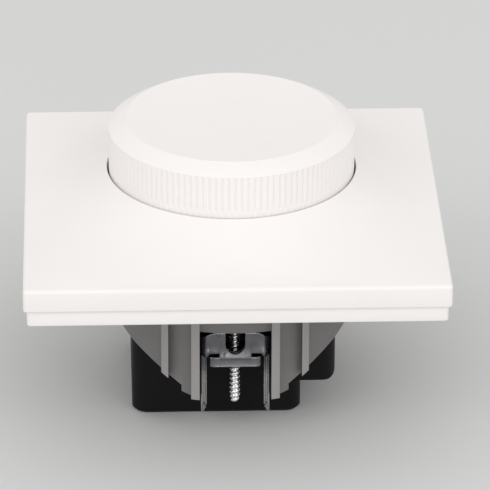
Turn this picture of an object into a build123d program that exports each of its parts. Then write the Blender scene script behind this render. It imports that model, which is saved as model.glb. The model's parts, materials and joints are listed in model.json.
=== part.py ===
from build123d import *
import os
from math import atan2, cos, hypot, pi, radians, sin, sqrt, tan

# Flush-mounted rotary push dimmer with spreading claws.
# Frame: origin on the wall plane at the knob's axis, +Z out of the wall, millimetres.

# Cover and backing frame
PLATE_SIZE = 85.0
PLATE_CORNER_R = 0.8
RIM_HEIGHT = 4.7
RIM_ROUND = 0.7
RIM_STEPS = 2
CROWN_RISE = 7.1
CROWN_LIP = 0.7
CROWN_STEPS = 8
CROWN_SHARES = (0.3, 0.65)
CORNER_FLAT = 0.3
COVER_WALL = 1.8
COVER_FLOOR = 1.8
CEILING_DROP = 2.5
HOLLOW_CHAMFER = 1.0
FRAME_INSET = 0.7
FRAME_WALL = 1.6
FRAME_WEB = 1.4
FRAME_LAP = 4.0
PEG_SIZE = 3.0
PEG_GAP = 0.2
PEG_END_GAP = 0.3

# Knob
KNOB_R = 25.15
KNOB_GAP = 0.35
KNOB_SHOW = 8.8
SHOULDER_RISE = 2.0
SHOULDER_BULGE = 0.15
KNOB_TOP_R = 21.7
KNOB_DISH = 0.8
KNOB_DISH_R = 5.0
KNOB_SIDES = 54
KNOB_WALL = 1.7
KNOB_ROOF = 1.5
KNURL_COUNT = 120
KNURL_DEPTH = 0.35
KNURL_LAND = 0.46
KNURL_LEDGE = 0.1
HUB_WALL = 2.2
HUB_RIBS = 6
HUB_RIB_WIDTH = 1.2
HUB_RIB_DEPTH = 4.0
PUSH_TRAVEL = 1.5
PUSH_CLEARANCE = 0.5

# Carrier
FLANGE_GAP = 0.3
FLANGE_CUT = 6.0
FLANGE_THICK = 2.0
SEAT_PAD = 0.6
SEAT_PAD_MARGIN = 0.4
BOX_SCREW_SPACING = 60.0
BOX_SLOT_LENGTH = 8.0
BOX_SLOT_WIDTH = 4.2
TURRET_SIZE = 26.0
TURRET_WALL = 1.8
DECK_UNDERSIDE = 5.4
DECK_THICK = 1.8
SKIRT_GAP = 0.15
SKIRT_WALL = 1.5
TONGUE_TOP_HALF = 24.0
TONGUE_SHOULDER_Z = -12.4
TONGUE_BEND_HALF = 20.4
TONGUE_BEND_Z = -15.7
TONGUE_FOOT_HALF = 10.9
TONGUE_FOOT_Z = -22.4
TONGUE_END_HALF = 9.0
TONGUE_STEP = 1.4
TONGUE_END_Z = -24.4
SLOT_TOP_Z = -9.6
CLAW_SLOT_WIDTH = 14.6
RIB_HEIGHT = 1.7
INNER_RIB_WIDTH = 1.7
OUTER_RIB_WIDTH = 1.4
OUTER_RIB_HALF = 15.0
POST_SIZE = 3.0
HOOK_WIDTH = 8.0
HOOK_THICK = 1.2
HOOK_LENGTH = 5.4
HOOK_GAP = 0.15
BARB_HEIGHT = 1.4
BARB_REACH = 1.0

# Claws and their screws
CLAW_SIDE_GAP = 0.3
CLAW_SHEET = 1.2
CLAW_INSET = 1.0
CLAW_TOP_Z = -10.8
CLAW_SCREW_BACK = 3.0
CLAW_SCREW_R = 1.25
CLAW_SCREW_TIP_Z = -27.6
CLAW_SPLAY_DEG = 15.0
CLAW_THREAD_GAP = 0.06
NUT_PLATE_TOP_Z = -16.4
NUT_PLATE_HALF = 5.3
BOSS_DROP = 1.0
BOSS_WALL = 0.7
NOTCH_HALF = 2.0
NOTCH_LOW_Z = -14.7
RELIEF_WIDTH = 2.3
RELIEF_HEIGHT = 0.8
RELIEF_OVER = 0.3
LEG_DEPTH = 4.9
LEG_PROUD = 0.4
LEG_END_Z = -28.0
LEG_BARB = 2.2
CLAW_HEAD_R = 2.8
CLAW_HEAD_THICK = 2.0
SCREW_HOLE_GAP = 0.3

# Base housing
BASE_WIDTH = 41.8
BASE_DEPTH = 34.4
BASE_BOTTOM_Z = -33.4
BASE_WALL = 1.85
BASE_FLOOR = 1.8
BASE_CORNER_R = 3.0
BASE_EDGE = 0.8
STEP_WIDTH = 7.1
STEP_HEIGHT = 7.4
STEP_EDGE_R = 1.7

# Board and the stack of the potentiometer with its push switch
BOARD_TOP_Z = -7.4
BOARD_THICK = 1.6
BOARD_GAP = 0.35
POT_SIZE = 16.4
POT_WALL = 1.2
POT_ROOF = 1.0
SWITCH_FLOOR = 1.0
WAFER_THICK = 1.2
WAFER_HOLE_R = 3.6
BUSH_R = 5.0
BUSH_FLANGE_SIZE = 14.0
BUSH_FLANGE = 0.6
BUSH_GAP = 0.15
BUSH_PROUD = 0.6
NUT_FLATS = 14.0
NUT_THICK = 2.8
SPINDLE_R = 3.0
SPINDLE_FIT = 0.05
SPINDLE_FLAT = 1.9
SPINDLE_TAIL = 0.4
ROTOR_HALF = 4.4
ROTOR_REACH = 5.0
ROTOR_THICK = 1.8
ROTOR_LIFT = 0.9
ROTOR_TOP_GAP = 0.4
WIPER_HALF = 1.2
WIPER_SHEET = 0.3
WIPER_GAP = 0.05
CLIP_THICK = 0.6
CLIP_GAP = 0.1
CLIP_PRONG = 2.0
PLUNGER_HEAD_HALF = 3.0
PLUNGER_HEAD = 0.8
PLUNGER_STEM_HALF = 2.0
PLUNGER_LENGTH = 2.0
BRIDGE_THICK = 0.3
BRIDGE_HALF = 5.4
BRIDGE_WIDTH = 5.8
CONTACT_SIZE = 1.6
CONTACT_GAP = 0.05
SPRING_SHEET = 0.25
SPRING_WIDTH = 2.4
SPRING_SPAN = 9.0
SPRING_CROWN = 2.4
SPRING_GAP = 0.05

# Circuit parts under the board
WALL_GAP = 0.6
CHOKE_SIZE = (5.0, 16.0, 14.0)
CHOKE_LEG = 2.4
CHOKE_YOKE = 2.5
CHOKE_COIL = 2.5
COIL_GAP = 0.3
CAPACITOR_SIZE = (15.0, 8.0, 13.0)
SINK_SIZE = (14.0, 1.5, 19.0)
TRIAC_WIDTH = 10.0
TRIAC_BODY = 9.0
TRIAC_DEPTH = 4.4
TAB_LENGTH = 6.0
TAB_THICK = 1.3
LEAD_LENGTH = 4.0
LEAD_WIDTH = 0.8
LEAD_PITCH = 2.5
FUSE_SIZE = (6.4, 4.2, 7.6)
FUSE_AT = (-2.8, -4.4)
TIMING_SIZE = (6.0, 3.0, 7.0)
TIMING_AT = (5.4, -5.6)
RESISTOR_SIZE = (6.2, 2.4, 2.4)
RESISTOR_AT = ((5.0, -1.8), (5.0, 2.6))
DIAC_SIZE = (3.4, 1.8, 1.8)
DIAC_AT = (-3.0, 1.6)

# Wire terminals beside the step
TERMINAL_PITCH = 9.0
TERMINAL_COUNT = 2
CAGE_WIDTH = 5.4
CAGE_LENGTH = 5.0
CAGE_WALL = 1.0
CAGE_PLATE = 1.2
CAGE_TRAVEL = 1.75
CAGE_GAP = 0.15
WIRE_ROOM = 3.0
BAR_THICK = 0.9
BAR_WIDTH = 3.0
BAR_INSET = 9.4
TERMINAL_SCREW_R = 1.2
TERMINAL_HEAD_R = 2.2
TERMINAL_HEAD = 1.5
DRIVER_HOLE = 3.4
PARTITION = 0.8

# Heights that follow from the sizes above
FRAME_TOP = FLANGE_THICK + FRAME_WEB
RIM_TOP = FRAME_TOP + RIM_HEIGHT
MOUTH_Z = RIM_TOP + CROWN_RISE
DECK_TOP = DECK_UNDERSIDE + DECK_THICK
FLOOR_TOP = DECK_TOP + COVER_FLOOR
NUT_TOP = FLOOR_TOP + NUT_THICK
BUSH_TOP = NUT_TOP + BUSH_PROUD
BUSH_LOW = DECK_UNDERSIDE - BUSH_FLANGE
SKIRT_LOW = FLOOR_TOP + PUSH_TRAVEL + PUSH_CLEARANCE
SHOULDER_Z = MOUTH_Z + KNOB_SHOW
KNOB_TOP_Z = SHOULDER_Z + SHOULDER_RISE
KNOB_CEILING = KNOB_TOP_Z - KNOB_DISH - KNOB_ROOF
HUB_LOW = BUSH_TOP + PUSH_TRAVEL + PUSH_CLEARANCE
SPINDLE_TOP = KNOB_CEILING - PUSH_CLEARANCE
ROTOR_TOP = BUSH_LOW - POT_ROOF - ROTOR_TOP_GAP
ROTOR_LOW = ROTOR_TOP - ROTOR_THICK
WAFER_TOP = ROTOR_LOW - ROTOR_LIFT
WAFER_LOW = WAFER_TOP - WAFER_THICK
CLIP_TOP = WAFER_LOW - CLIP_GAP
CLIP_LOW = CLIP_TOP - CLIP_THICK
SPINDLE_LOW = CLIP_LOW - SPINDLE_TAIL
BRIDGE_TOP = SPINDLE_LOW - PLUNGER_HEAD
PLUNGER_LOW = SPINDLE_LOW - PLUNGER_LENGTH
SWITCH_DECK = BOARD_TOP_Z + SWITCH_FLOOR
CONTACT_TOP = BRIDGE_TOP - BRIDGE_THICK - PUSH_TRAVEL - CONTACT_GAP
BOARD_LOW = BOARD_TOP_Z - BOARD_THICK

# Places that follow from the sizes above
WELL_R = KNOB_R + KNOB_GAP
WELL_OUTER = WELL_R + COVER_WALL
FRAME_INSIDE = PLATE_SIZE - 2 * (FRAME_INSET + FRAME_WALL)
FLANGE_SIZE = FRAME_INSIDE - 2 * FLANGE_GAP
FRAME_OPENING = FLANGE_SIZE - 2 * FRAME_LAP
BASE_HALF_X = BASE_WIDTH / 2
BASE_HALF_Y = BASE_DEPTH / 2
BASE_REACH = hypot(BASE_HALF_X - BASE_CORNER_R, BASE_HALF_Y - BASE_CORNER_R) + BASE_CORNER_R
SKIRT_R = BASE_REACH + SKIRT_GAP + SKIRT_WALL
CLAW_FACE = SKIRT_R - CLAW_INSET
CLAW_SCREW_Y = -(CLAW_FACE - CLAW_SHEET - CLAW_SCREW_BACK)
CLAW_HALF = CLAW_SLOT_WIDTH / 2 - CLAW_SIDE_GAP
BOSS_LOW_Z = NUT_PLATE_TOP_Z - CLAW_SHEET - BOSS_DROP
BOSS_HALF_LENGTH = (NUT_PLATE_TOP_Z - BOSS_LOW_Z) / 2
SPLAY = radians(CLAW_SPLAY_DEG)
BOSS_HOLE_R = CLAW_SCREW_R / cos(SPLAY) + BOSS_HALF_LENGTH * tan(SPLAY) + CLAW_THREAD_GAP
INNER_HALF_X = BASE_HALF_X - BASE_WALL
INNER_HALF_Y = BASE_HALF_Y - BASE_WALL
STEP_X = BASE_HALF_X - STEP_WIDTH
STEP_Z = BASE_BOTTOM_Z + STEP_HEIGHT
HOOK_LOW = -SEAT_PAD - HOOK_LENGTH
HOOK_OUTER = INNER_HALF_Y - HOOK_GAP
PEG_OFFSET = (FRAME_INSIDE + FRAME_OPENING) / 4
CORNERS = [(i, j) for i in (-1, 1) for j in (-1, 1)]
TERMINAL_X = INNER_HALF_X - WALL_GAP - CAGE_LENGTH / 2
TERMINAL_YS = [TERMINAL_PITCH * (i - (TERMINAL_COUNT - 1) / 2) for i in range(TERMINAL_COUNT)]
HEAD_LOW = STEP_Z + BASE_FLOOR + CAGE_GAP / 2
HEAD_TOP = HEAD_LOW + TERMINAL_HEAD
CAGE_LOW = HEAD_TOP + CAGE_TRAVEL + CAGE_GAP
BAR_LOW = CAGE_LOW + CAGE_PLATE + CAGE_GAP
WIRE_LOW = BAR_LOW + BAR_THICK
WIRE_HIGH = WIRE_LOW + WIRE_ROOM
CAGE_TOP = WIRE_HIGH + CAGE_PLATE


def disc(radius, low, high, x=0.0, y=0.0):
    """Upright round bar between two heights."""
    return Pos(x, y, (low + high) / 2) * Cylinder(radius, high - low)


def block(x, y, z):
    """Block between a pair of limits along each axis, given in either order."""
    (x0, x1), (y0, y1), (z0, z1) = sorted(x), sorted(y), sorted(z)
    return Pos((x0 + x1) / 2, (y0 + y1) / 2, (z0 + z1) / 2) * Box(x1 - x0, y1 - y0, z1 - z0)


def column(half_x, half_y, low, high, x=0.0, y=0.0):
    """Upright rectangular bar between two heights."""
    return block((x - half_x, x + half_x), (y - half_y, y + half_y), (low, high))


def prism(outline, low, high):
    """Plan outline raised between two heights."""
    return extrude(Pos(0, 0, low) * outline, high - low)


def side_profile(points, half_width):
    """Outline in the Y-Z plane, given as (y, z), extended both ways along X."""
    face = Plane.YZ * make_face(Polyline(*points, close=True))
    return extrude(face, half_width, both=True)


def faceted(rings):
    """Solid of flat faces between level rings that have matching, parallel edges."""
    faces = [Face(Wire.make_polygon(rings[0])), Face(Wire.make_polygon(rings[-1]))]
    for low, high in zip(rings, rings[1:]):
        for k in range(len(low)):
            after = (k + 1) % len(low)
            faces.append(Face(Wire.make_polygon([low[k], low[after], high[after], high[k]])))
    return Solid(Shell(faces))


def spindle_bar(low, high, gap=0.0):
    """Bar of the spindle's D section, or with a gap the hole for it."""
    over = 2 * SPINDLE_R
    flat = block((SPINDLE_FLAT + gap, over), (-over, over), (low, high))
    return disc(SPINDLE_R + gap, low, high) - flat


# Cover, frame and knob


def square_ring(half, corner_r, z, steps):
    """Corner points of a rounded square at one height, each corner in equal angular steps."""
    points = []
    for quarter in range(4):
        turn = quarter * pi / 2
        for k in range(steps + 1):
            angle = k * pi / 2 / steps
            x = half - corner_r + corner_r * cos(angle)
            y = half - corner_r + corner_r * sin(angle)
            points.append((x * cos(turn) - y * sin(turn), x * sin(turn) + y * cos(turn), z))
    return points


def cover_outside():
    """Rim with a rounded edge, then a crown that flares up from the square to a round mouth."""
    half = PLATE_SIZE / 2
    mouth = WELL_R + CROWN_LIP
    round_r = mouth - CORNER_FLAT / 2
    turn = pi / 2 - atan2(CROWN_RISE * CROWN_SHARES[0], half - mouth)
    tangent = RIM_ROUND * tan(turn / 2)
    rings = [square_ring(half, PLATE_CORNER_R, FRAME_TOP, CROWN_STEPS)]
    for k in range(RIM_STEPS + 1):
        angle = turn * k / RIM_STEPS
        inset = RIM_ROUND * (1 - cos(angle))
        z = RIM_TOP - tangent + RIM_ROUND * sin(angle)
        rings.append(square_ring(half - inset, PLATE_CORNER_R - inset, z, CROWN_STEPS))
    for share in (*CROWN_SHARES, 1):
        ring_half = half + (mouth - half) * share
        corner_r = PLATE_CORNER_R + (round_r - PLATE_CORNER_R) * share
        rings.append(square_ring(ring_half, corner_r, RIM_TOP + CROWN_RISE * share**2, CROWN_STEPS))
    return faceted(rings)


def cover_hollow():
    """Space under the crown: square at the rim, eight-sided round the well, flared like the outside."""
    inner = PLATE_SIZE / 2 - COVER_WALL
    low = RIM_TOP - COVER_WALL
    rise = MOUTH_Z - CEILING_DROP - low
    well_cut = WELL_OUTER * (2 - sqrt(2))
    rings = [square_ring(inner, HOLLOW_CHAMFER, FRAME_TOP, 1)]
    for share in (0, 0.5, 1):
        half = inner + (WELL_OUTER - inner) * share
        cut = HOLLOW_CHAMFER + (well_cut - HOLLOW_CHAMFER) * share
        rings.append(square_ring(half, cut, low + rise * share**2, 1))
    return faceted(rings)


def cover_plate():
    """Upper tier: rim, crown and the round well that the knob turns in."""
    plate = cover_outside() - cover_hollow()
    ceiling = MOUTH_Z - CEILING_DROP
    eight = RegularPolygon(WELL_OUTER, 8, major_radius=False, rotation=22.5)
    plate += prism(eight, DECK_TOP, ceiling + CEILING_DROP / 4)
    for i, j in CORNERS:
        half = PEG_SIZE / 2
        plate += column(half, half, FLANGE_THICK + PEG_END_GAP, RIM_TOP, i * PEG_OFFSET, j * PEG_OFFSET)
    plate -= disc(WELL_R, FLOOR_TOP, KNOB_TOP_Z)
    return plate - disc(BUSH_R + BUSH_GAP, DECK_TOP, FLOOR_TOP)


def backing_frame():
    """Lower tier: a shallow frame whose web is trapped between carrier and cover."""
    size = PLATE_SIZE - 2 * FRAME_INSET
    frame = prism(RectangleRounded(size, size, PLATE_CORNER_R), 0, FRAME_TOP)
    frame -= prism(Rectangle(FRAME_INSIDE, FRAME_INSIDE), 0, FLANGE_THICK)
    frame -= prism(Rectangle(FRAME_OPENING, FRAME_OPENING), 0, FRAME_TOP)
    for i, j in CORNERS:
        half = PEG_SIZE / 2 + PEG_GAP
        frame -= column(half, half, 0, FRAME_TOP, i * PEG_OFFSET, j * PEG_OFFSET)
    return frame


def round_ring(radius, z):
    """Points of a many-sided round at one height."""
    steps = [2 * pi * k / KNOB_SIDES for k in range(KNOB_SIDES)]
    return [(radius * cos(angle), radius * sin(angle), z) for angle in steps]


def knurl_outline():
    """Round outline with a V-groove between each pair of lands."""
    points = []
    for k in range(KNURL_COUNT):
        middle = 2 * pi * k / KNURL_COUNT
        land = KNURL_LAND / 2
        for radius, step in ((KNOB_R, -land), (KNOB_R, land), (KNOB_R - KNURL_DEPTH, 0.5)):
            angle = middle + step * 2 * pi / KNURL_COUNT
            points.append((radius * cos(angle), radius * sin(angle)))
    return make_face(Polyline(*points, close=True))


def knob():
    """Knurled cap with a rounded shoulder, dished top, hollow inside and a ribbed hub."""
    root_r = KNOB_R - KNURL_DEPTH
    inside_r = root_r - KNOB_WALL
    foot_r = root_r - KNURL_LEDGE
    cap = prism(knurl_outline() - RegularPolygon(inside_r, KNOB_SIDES), SKIRT_LOW, SHOULDER_Z)
    bulge_r = (foot_r + KNOB_TOP_R + SHOULDER_BULGE) / 2
    bulge_z = (SHOULDER_Z + KNOB_TOP_Z) / 2 + SHOULDER_BULGE
    section = [
        (foot_r, KNOB_CEILING),
        (foot_r, SHOULDER_Z),
        (bulge_r, bulge_z),
        (KNOB_TOP_R, KNOB_TOP_Z),
        (KNOB_DISH_R, KNOB_TOP_Z - KNOB_DISH),
    ]
    cap += faceted([round_ring(radius, z) for radius, z in section])
    hub_r = SPINDLE_R + HUB_WALL
    in_roof = KNOB_CEILING + KNOB_ROOF / 4
    cap += disc(hub_r, HUB_LOW, in_roof)
    rib_x = (hub_r - HUB_WALL / 2, inside_r + KNOB_WALL / 2)
    rib_y = (-HUB_RIB_WIDTH / 2, HUB_RIB_WIDTH / 2)
    rib = block(rib_x, rib_y, (KNOB_CEILING - HUB_RIB_DEPTH, in_roof))
    for i in range(HUB_RIBS):
        cap += Rot(0, 0, i * 360 / HUB_RIBS) * rib
    return cap - spindle_bar(HUB_LOW, SPINDLE_TOP + SPINDLE_FIT, SPINDLE_FIT)


# Carrier


def tongue_outline():
    """Front view of a claw tongue: wide at the flange, tapering to its foot."""
    right = [
        (TONGUE_TOP_HALF, 0),
        (TONGUE_TOP_HALF, TONGUE_SHOULDER_Z),
        (TONGUE_BEND_HALF, TONGUE_BEND_Z),
        (TONGUE_FOOT_HALF, TONGUE_FOOT_Z),
        (TONGUE_FOOT_HALF, TONGUE_FOOT_Z - TONGUE_STEP),
        (TONGUE_END_HALF, TONGUE_END_Z),
    ]
    left = [(-x, z) for x, z in reversed(right)]
    return Plane.XZ * make_face(Polyline(*right, *left, close=True))


def claw_tongues():
    """The two curved tongues, front and rear, with their guide ribs and open claw slots."""
    rib_r = SKIRT_R + RIB_HEIGHT
    inside = disc(SKIRT_R - SKIRT_WALL, TONGUE_END_Z, 0)
    slot_half = CLAW_SLOT_WIDTH / 2
    tongues = disc(SKIRT_R, TONGUE_END_Z, 0)
    band = disc(rib_r, TONGUE_END_Z, 0)
    ribs = ((slot_half + INNER_RIB_WIDTH, INNER_RIB_WIDTH), (OUTER_RIB_HALF, OUTER_RIB_WIDTH))
    for side in (-1, 1):
        for edge, width in ribs:
            across = (side * edge, side * (edge - width))
            tongues += band & block(across, (-rib_r, rib_r), (TONGUE_END_Z, 0))
    tongues = (tongues - inside) & extrude(tongue_outline(), rib_r, both=True)
    return tongues - block((-slot_half, slot_half), (-rib_r, rib_r), (TONGUE_END_Z, SLOT_TOP_Z))


def base_hook():
    """Snap hook at the rear that catches in a window of the base."""
    inner = HOOK_OUTER - HOOK_THICK
    points = [
        (inner, 0),
        (inner, HOOK_LOW),
        (HOOK_OUTER, HOOK_LOW),
        (HOOK_OUTER + BARB_REACH, HOOK_LOW + BARB_HEIGHT),
        (HOOK_OUTER, HOOK_LOW + BARB_HEIGHT),
        (HOOK_OUTER, 0),
    ]
    return side_profile(points, HOOK_WIDTH / 2)


def carrier():
    """Grey carrier: flange on the wall, raised turret over the potentiometer, claw tongues."""
    half = FLANGE_SIZE / 2
    plate = faceted([square_ring(half, FLANGE_CUT, z, 1) for z in (0, FLANGE_THICK)])
    plate += column(BASE_HALF_X + SEAT_PAD_MARGIN, BASE_HALF_Y + SEAT_PAD_MARGIN, -SEAT_PAD, 0)
    plate += column(TURRET_SIZE / 2, TURRET_SIZE / 2, FLANGE_THICK, DECK_TOP)
    inner = TURRET_SIZE / 2 - TURRET_WALL
    plate -= column(inner, inner, -SEAT_PAD, DECK_UNDERSIDE)
    plate -= disc(BUSH_R + BUSH_GAP, DECK_UNDERSIDE, DECK_TOP)
    for side in (-1, 1):
        slot = Pos(side * BOX_SCREW_SPACING / 2, 0) * SlotOverall(BOX_SLOT_LENGTH, BOX_SLOT_WIDTH)
        plate -= prism(slot, 0, FLANGE_THICK)
        plate -= disc(CLAW_SCREW_R + SCREW_HOLE_GAP, 0, FLANGE_THICK, 0, side * CLAW_SCREW_Y)
    for i, j in CORNERS:
        x = i * (INNER_HALF_X - BOARD_GAP - POST_SIZE / 2)
        y = j * (INNER_HALF_Y - BOARD_GAP - POST_SIZE / 2)
        plate += column(POST_SIZE / 2, POST_SIZE / 2, BOARD_TOP_Z, 0, x, y)
    plate += base_hook() + Rot(0, 0, 180) * base_hook()
    return plate + claw_tongues()


# Claws


def claw():
    """Front claw: notched web, nut plate folded back from its foot, and two barbed legs."""
    face = -CLAW_FACE
    front = face - LEG_PROUD
    back = face + CLAW_SHEET
    plate_low = NUT_PLATE_TOP_Z - CLAW_SHEET
    plate_back = CLAW_SCREW_Y + BOSS_HOLE_R + 2 * BOSS_WALL
    sheet = block((-CLAW_HALF, CLAW_HALF), (face, back), (NUT_PLATE_TOP_Z, CLAW_TOP_Z))
    nut_plate = block((-NUT_PLATE_HALF, NUT_PLATE_HALF), (face, plate_back), (plate_low, NUT_PLATE_TOP_Z))
    fold = nut_plate.edges().filter_by(Axis.X).group_by(Axis.Z)[0].sort_by(Axis.Y)[0]
    sheet += fillet(fold, CLAW_SHEET * 0.9)
    sheet += disc(BOSS_HOLE_R + BOSS_WALL, BOSS_LOW_Z, plate_low, 0, CLAW_SCREW_Y)
    notch = Pos(0, NOTCH_LOW_Z + NOTCH_HALF) * Circle(NOTCH_HALF)
    notch += Pos(0, (NOTCH_LOW_Z + NOTCH_HALF + CLAW_TOP_Z) / 2) * Rectangle(
        2 * NOTCH_HALF, CLAW_TOP_Z - NOTCH_LOW_Z - NOTCH_HALF
    )
    sheet -= Pos(0, face + CLAW_SHEET / 2, 0) * extrude(Plane.XZ * notch, CLAW_SHEET, both=True)
    leg_back = front + LEG_DEPTH
    leg_middle = front + LEG_DEPTH / 2
    leg = side_profile(
        [
            (front, CLAW_TOP_Z),
            (leg_back, CLAW_TOP_Z),
            (leg_back, LEG_END_Z + 2 * LEG_BARB),
            (leg_middle, LEG_END_Z + LEG_BARB),
            (leg_middle, LEG_END_Z + LEG_BARB / 2),
            (front, LEG_END_Z),
        ],
        CLAW_SHEET / 2,
    )
    for side in (-1, 1):
        relief_end = NUT_PLATE_HALF + RELIEF_OVER
        relief_x = (side * relief_end, side * (relief_end - RELIEF_WIDTH))
        sheet -= block(relief_x, (face, back), (NUT_PLATE_TOP_Z, NUT_PLATE_TOP_Z + RELIEF_HEIGHT))
        sheet += Pos(side * (CLAW_HALF - CLAW_SHEET / 2), 0, 0) * leg
    return sheet - disc(BOSS_HOLE_R, BOSS_LOW_Z, NUT_PLATE_TOP_Z, 0, CLAW_SCREW_Y)


def claw_screw():
    """Long screw of the front claw, with its head on the carrier's flange."""
    section = Polyline(
        (0, CLAW_SCREW_TIP_Z),
        (CLAW_SCREW_R, CLAW_SCREW_TIP_Z),
        (CLAW_SCREW_R, FLANGE_THICK),
        (CLAW_HEAD_R, FLANGE_THICK),
        (CLAW_HEAD_R, FLANGE_THICK + CLAW_HEAD_THICK),
        (0, FLANGE_THICK + CLAW_HEAD_THICK),
        close=True,
    )
    return Pos(0, CLAW_SCREW_Y, 0) * revolve(Plane.XZ * make_face(section), Axis.Z)


# Base


def base_outside():
    """Stepped block of the base with rounded corners and a chamfered foot."""
    upper = RectangleRounded(BASE_WIDTH, BASE_DEPTH, BASE_CORNER_R)
    low_width = BASE_WIDTH - STEP_WIDTH
    lower = Pos(-STEP_WIDTH / 2, 0) * RectangleRounded(low_width, BASE_DEPTH, BASE_CORNER_R)
    outside = prism(upper, STEP_Z, -SEAT_PAD) + prism(lower, BASE_BOTTOM_Z, -SEAT_PAD)
    outside = chamfer(outside.faces().sort_by(Axis.Z)[0].edges(), BASE_EDGE)
    x = BASE_HALF_X - STEP_EDGE_R
    z = STEP_Z + STEP_EDGE_R
    corner = block((x, BASE_HALF_X), (-BASE_HALF_Y, BASE_HALF_Y), (STEP_Z, z))
    return outside - (corner - Pos(x, 0, z) * Rot(90, 0, 0) * Cylinder(STEP_EDGE_R, BASE_DEPTH))


def base_hollow():
    """Stepped space inside the base."""
    deep = (-INNER_HALF_Y, INNER_HALF_Y)
    hollow = block((-INNER_HALF_X, INNER_HALF_X), deep, (STEP_Z + BASE_FLOOR, -SEAT_PAD))
    low_x = (-INNER_HALF_X, STEP_X - BASE_WALL)
    return hollow + block(low_x, deep, (BASE_BOTTOM_Z + BASE_FLOOR, STEP_Z + BASE_FLOOR))


def base_housing():
    """Black base: stepped cup with board columns, hook windows, wire and driver openings."""
    cup = base_outside() - base_hollow()
    for i, j in CORNERS:
        floor = STEP_Z if i > 0 else BASE_BOTTOM_Z
        x = (i * (INNER_HALF_X - POST_SIZE), i * (INNER_HALF_X + BASE_WALL / 4))
        y = (j * (INNER_HALF_Y - POST_SIZE), j * (INNER_HALF_Y + BASE_WALL / 4))
        cup += block(x, y, (floor + BASE_FLOOR / 2, BOARD_LOW))
    for low_y, high_y in zip(TERMINAL_YS, TERMINAL_YS[1:]):
        middle = (low_y + high_y) / 2
        x = (TERMINAL_X - CAGE_LENGTH / 2, INNER_HALF_X + BASE_WALL / 2)
        y = (middle - PARTITION / 2, middle + PARTITION / 2)
        cup += block(x, y, (STEP_Z + BASE_FLOOR / 2, CAGE_TOP))
    entry = CAGE_WIDTH / 2 - CAGE_WALL
    for y in TERMINAL_YS:
        cup -= block((INNER_HALF_X, BASE_HALF_X), (y - entry, y + entry), (WIRE_LOW, WIRE_HIGH))
        cup -= column(DRIVER_HOLE / 2, DRIVER_HOLE / 2, STEP_Z, STEP_Z + BASE_FLOOR, TERMINAL_X, y)
    window_half = HOOK_WIDTH / 2 + HOOK_GAP
    window_z = (HOOK_LOW - HOOK_GAP, HOOK_LOW + BARB_HEIGHT)
    return cup - block((-window_half, window_half), (-BASE_HALF_Y, BASE_HALF_Y), window_z)


def circuit_board():
    """Board on the base's columns, held down by the carrier's posts."""
    return column(INNER_HALF_X - BOARD_GAP, INNER_HALF_Y - BOARD_GAP, BOARD_LOW, BOARD_TOP_Z)


# Potentiometer and push switch


def switch_housing():
    """Cup on the board that holds the push switch."""
    half = POT_SIZE / 2
    inner = half - POT_WALL
    return column(half, half, BOARD_TOP_Z, WAFER_LOW) - column(inner, inner, SWITCH_DECK, WAFER_LOW)


def fixed_contacts():
    """Two contact blocks on the switch's floor."""
    half = CONTACT_SIZE / 2
    reach = BRIDGE_HALF - half
    return Compound([column(half, half, SWITCH_DECK, CONTACT_TOP, side * reach) for side in (-1, 1)])


def switch_plunger():
    """Headed square plunger under the spindle."""
    head = column(PLUNGER_HEAD_HALF, PLUNGER_HEAD_HALF, BRIDGE_TOP, SPINDLE_LOW)
    return head + column(PLUNGER_STEM_HALF, PLUNGER_STEM_HALF, PLUNGER_LOW, BRIDGE_TOP)


def contact_bridge():
    """Strip round the plunger's stem that joins the two contacts when pushed."""
    low = BRIDGE_TOP - BRIDGE_THICK
    strip = column(BRIDGE_HALF, BRIDGE_WIDTH / 2, low, BRIDGE_TOP)
    return strip - column(PLUNGER_STEM_HALF, PLUNGER_STEM_HALF, low, BRIDGE_TOP)


def return_spring():
    """Bent leaf between the switch's floor and the plunger."""
    low = SWITCH_DECK + SPRING_GAP
    high = PLUNGER_LOW - SPRING_GAP
    foot = SPRING_SPAN / 2
    crest = SPRING_CROWN / 2
    outer = [(-foot, low), (-crest, high), (crest, high), (foot, low)]
    inner_foot = foot - 2 * SPRING_SHEET
    inner_crest = crest - SPRING_SHEET / 2
    inner = [(inner_foot, low), (inner_crest, high - SPRING_SHEET), (-inner_crest, high - SPRING_SHEET)]
    return side_profile([*outer, *inner, (-inner_foot, low)], SPRING_WIDTH / 2)


def wafer_hole():
    """Eight-sided clearance hole round the spindle."""
    return RegularPolygon(WAFER_HOLE_R, 8)


def track_wafer():
    """Laminate wafer with the resistive track, between switch and potentiometer."""
    half = POT_SIZE / 2
    return column(half, half, WAFER_LOW, WAFER_TOP) - prism(wafer_hole(), WAFER_LOW, WAFER_TOP)


def pot_housing():
    """Cap of the potentiometer over wafer and rotor."""
    half = POT_SIZE / 2
    inner = half - POT_WALL
    cap = column(half, half, WAFER_TOP, BUSH_LOW)
    cap -= column(inner, inner, WAFER_TOP, BUSH_LOW - POT_ROOF)
    return cap - prism(wafer_hole(), BUSH_LOW - POT_ROOF, BUSH_LOW)


def pot_bush():
    """Bush through the carrier's deck and the cover's floor."""
    half = BUSH_FLANGE_SIZE / 2
    bush = column(half, half, BUSH_LOW, DECK_UNDERSIDE) + disc(BUSH_R, BUSH_LOW, BUSH_TOP)
    return bush - disc(SPINDLE_R + SPINDLE_FIT, BUSH_LOW, BUSH_TOP)


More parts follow.
